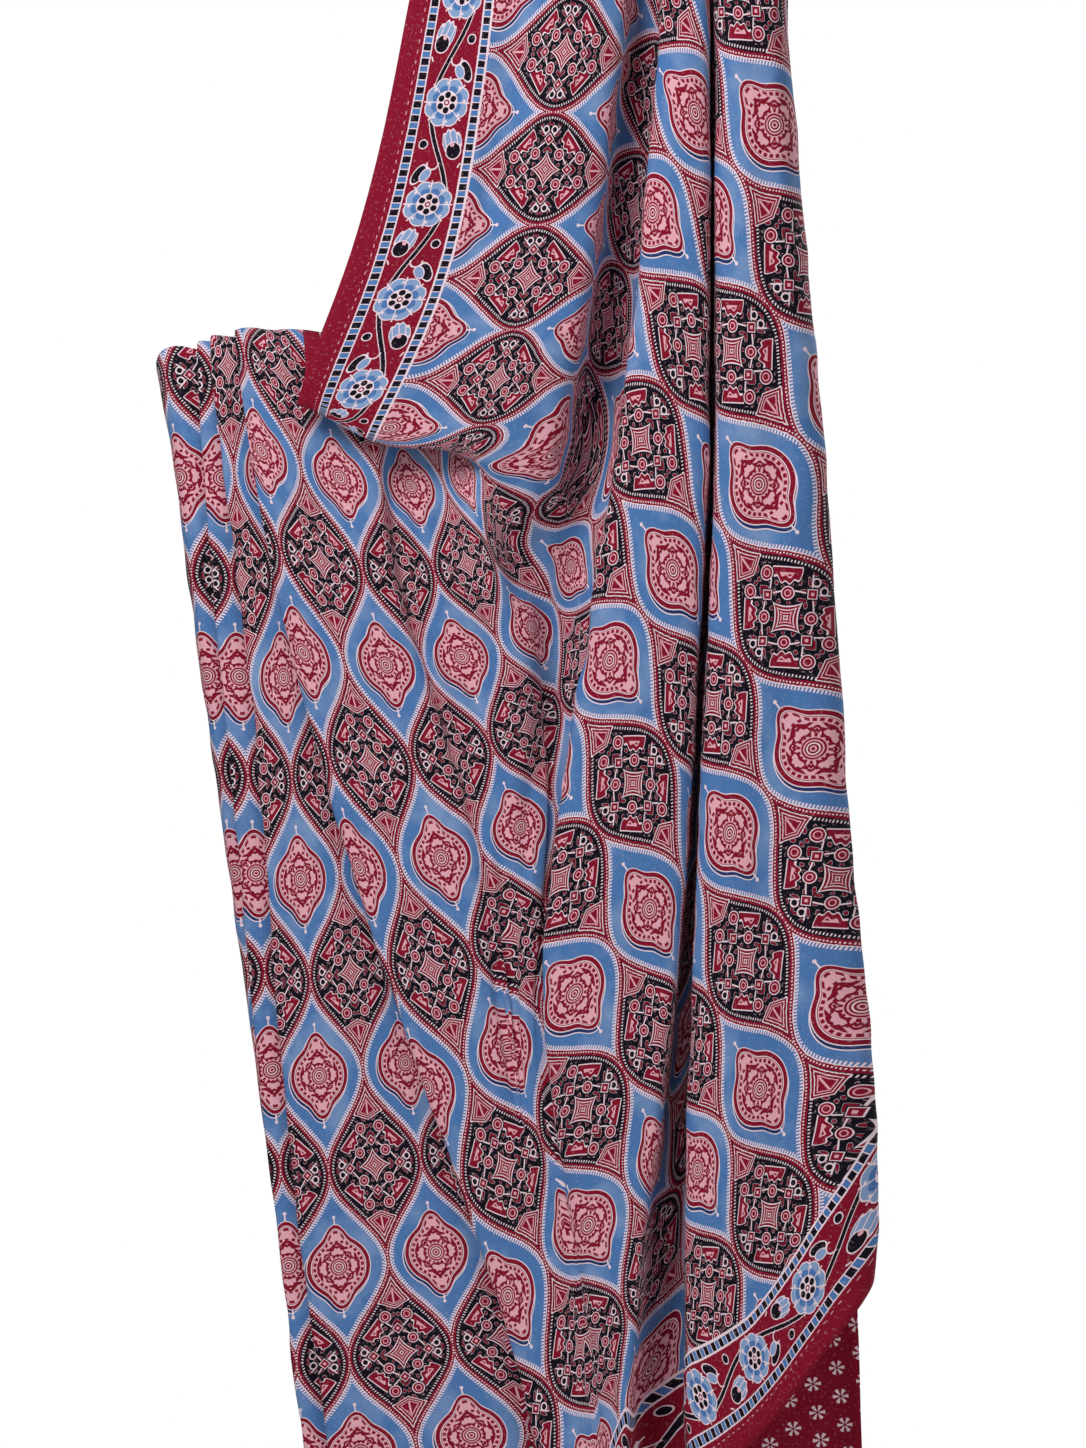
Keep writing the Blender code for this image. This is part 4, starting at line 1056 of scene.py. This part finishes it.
# The field alone covers most of the cloth; the other one adds the side border and the end panel.
def clothMaterial(name, withBorders):
    material = bpy.data.materials.new(name)
    material.use_nodes = True
    tree = material.node_tree
    tree.nodes.clear()
    new, link = tree.nodes.new, tree.links.new
    flat = uvMap(tree, "flatCloth")
    shift = new("ShaderNodeVectorMath")
    shift.operation = "MULTIPLY_ADD"
    link(noise(tree, flat, finish["wanderScale"], 1.0).outputs["Color"], shift.inputs[0])
    shift.inputs[1].default_value = (finish["wander"], finish["wander"], 0.0)
    link(flat, shift.inputs[2])
    # the noise is about one half, so half of the wander is taken off again
    across, along = (place - 500 * finish["wander"] for place in split(tree, shift.outputs[0], 1000))
    ragged = Amount(tree, noise(tree, flat, finish["raggedScale"], 1.0).outputs["Fac"])
    wobble = ragged * finish["raggedness"] - finish["raggedness"] / 2
    # uneven dye in slow clouds
    patchy = Amount(tree, noise(tree, flat, finish["cloudScale"], 3.0).outputs["Fac"])
    paling = ((patchy - 0.46) * 3.2).most(0.0).least(finish["paling"])

    whole = Print(tree, "madder")
    whole.last = fieldPrint(tree, along, across, wobble, paling)
    if withBorders:
        out, run = (place + wobble * 0.5 for place in split(tree, uvMap(tree, "sideEdge"), 1000))
        edging = borderPrint(tree, run, out)
        ending = endPrint(tree, along, across)
        whole.lay((along - printing["endAt"]).below(printing["panelWidth"]), ending)
        whole.lay(out.below(printing["borderWidth"]), edging)
    # a fine pale grain where the block printed thin
    whole.lay(((wobble - 0.12) * 0.7).most(0.0).least(finish["palestGrain"]), "pale")

    # plain weave: threads over and under in both directions
    weft, warp = (place.sine() for place in split(tree, flat, 2000 * math.pi / finish["threads"]))
    bump = new("ShaderNodeBump")
    bump.inputs["Strength"].default_value = finish["weaveStrength"]
    bump.inputs["Distance"].default_value = finish["weaveDepth"]
    link((weft * warp * 0.5 + patchy * 3).socket, bump.inputs["Height"])

    shader = new("ShaderNodeBsdfPrincipled")
    link(whole.last, shader.inputs["Base Color"])
    link((patchy * finish["patchyRoughness"] + finish["roughness"]).socket, shader.inputs["Roughness"])
    shader.inputs["Sheen Weight"].default_value = finish["sheen"]
    shader.inputs["Sheen Roughness"].default_value = finish["sheenRoughness"]
    shader.inputs["Specular IOR Level"].default_value = finish["specular"]
    link(bump.outputs[0], shader.inputs["Normal"])
    link(shader.outputs[0], new("ShaderNodeOutputMaterial").inputs[0])
    print(f"{name}: {len(tree.nodes)} nodes")
    return material


cloth = buildCloth()
cloth.data.materials.append(clothMaterial("blockPrintedField", False))
cloth.data.materials.append(clothMaterial("blockPrintedBorder", True))
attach(cloth, "root")
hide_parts("ajrakh_cloth")

studio = {
    "floorDrop": 1.46, "floorHalf": 1.7, "floorTone": 0.85, "centre": (-0.044, 0, -0.640),
    # what the camera takes in from top to bottom, and its distance from the cloth's front
    "height": 1.1106, "away": 5.0, "clothFront": 0.025,
    "world": 0.13, "lampSize": 1.0,
    "lamps": {"softKey": ((-1.0, -1.5, 1.1), 44), "softFill": ((1.6, -1.7, -0.7), 8),
              "softBack": ((1.4, 1.7, 0.7), 30)},
}


def floorPiece():
    mesh = bpy.data.meshes.new("studioFloor")
    half, z = studio["floorHalf"], -studio["floorDrop"]
    mesh.from_pydata([(-half, -half, z), (half, -half, z), (half, half, z), (-half, half, z)],
                     [], [(0, 1, 2, 3)])
    floor = bpy.data.objects.new("studioFloor", mesh)
    bpy.context.scene.collection.objects.link(floor)
    material = bpy.data.materials.new("paleFloor")
    material.use_nodes = True
    shader = material.node_tree.nodes["Principled BSDF"]
    shader.inputs["Base Color"].default_value = (*[studio["floorTone"]] * 3, 1)
    shader.inputs["Roughness"].default_value = 0.9
    mesh.materials.append(material)


# A square lamp that faces the middle of the cloth.
def softLamp(name, place, power):
    light = bpy.data.lights.new(name, "AREA")
    light.size = studio["lampSize"]
    light.energy = power
    lamp = bpy.data.objects.new(name, light)
    lamp.location = place
    x, y, z = np.array(studio["centre"]) - np.array(place)
    lamp.rotation_euler = (math.atan2(math.hypot(x, y), -z), 0, math.atan2(y, x) - math.pi / 2)
    bpy.context.scene.collection.objects.link(lamp)


# Seen directly the world is plain white, and it lights the cloth only softly.
def softWorld():
    world = bpy.data.worlds.new("softWhite")
    world.use_nodes = True
    nodes, link = world.node_tree.nodes, world.node_tree.links.new
    blend = nodes.new("ShaderNodeMixShader")
    link(nodes.new("ShaderNodeLightPath").outputs["Is Camera Ray"], blend.inputs[0])
    sources = (nodes["Background"], studio["world"]), (nodes.new("ShaderNodeBackground"), 1.0)
    for slot, (source, strength) in enumerate(sources, start=1):
        source.inputs["Color"].default_value = (1, 1, 1, 1)
        source.inputs["Strength"].default_value = strength
        link(source.outputs[0], blend.inputs[slot])
    link(blend.outputs[0], nodes["World Output"].inputs[0])
    bpy.context.scene.world = world


def studioScene():
    floorPiece()
    for name, (place, power) in studio["lamps"].items():
        softLamp(name, place, power)
    softWorld()
    lens = bpy.data.cameras.new("studioCamera")
    lens.sensor_fit = "VERTICAL"
    lens.sensor_height = 24
    lens.lens = lens.sensor_height * studio["away"] / studio["height"]
    camera = bpy.data.objects.new("studioCamera", lens)
    x, _, z = studio["centre"]
    camera.location = (x, -studio["away"] - studio["clothFront"], z)
    camera.rotation_euler = (math.pi / 2, 0, 0)
    scene = bpy.context.scene
    scene.collection.objects.link(camera)
    scene.camera = camera
    scene.view_settings.view_transform = "Standard"


studioScene()
print("studio: floor, three soft lights and the camera")
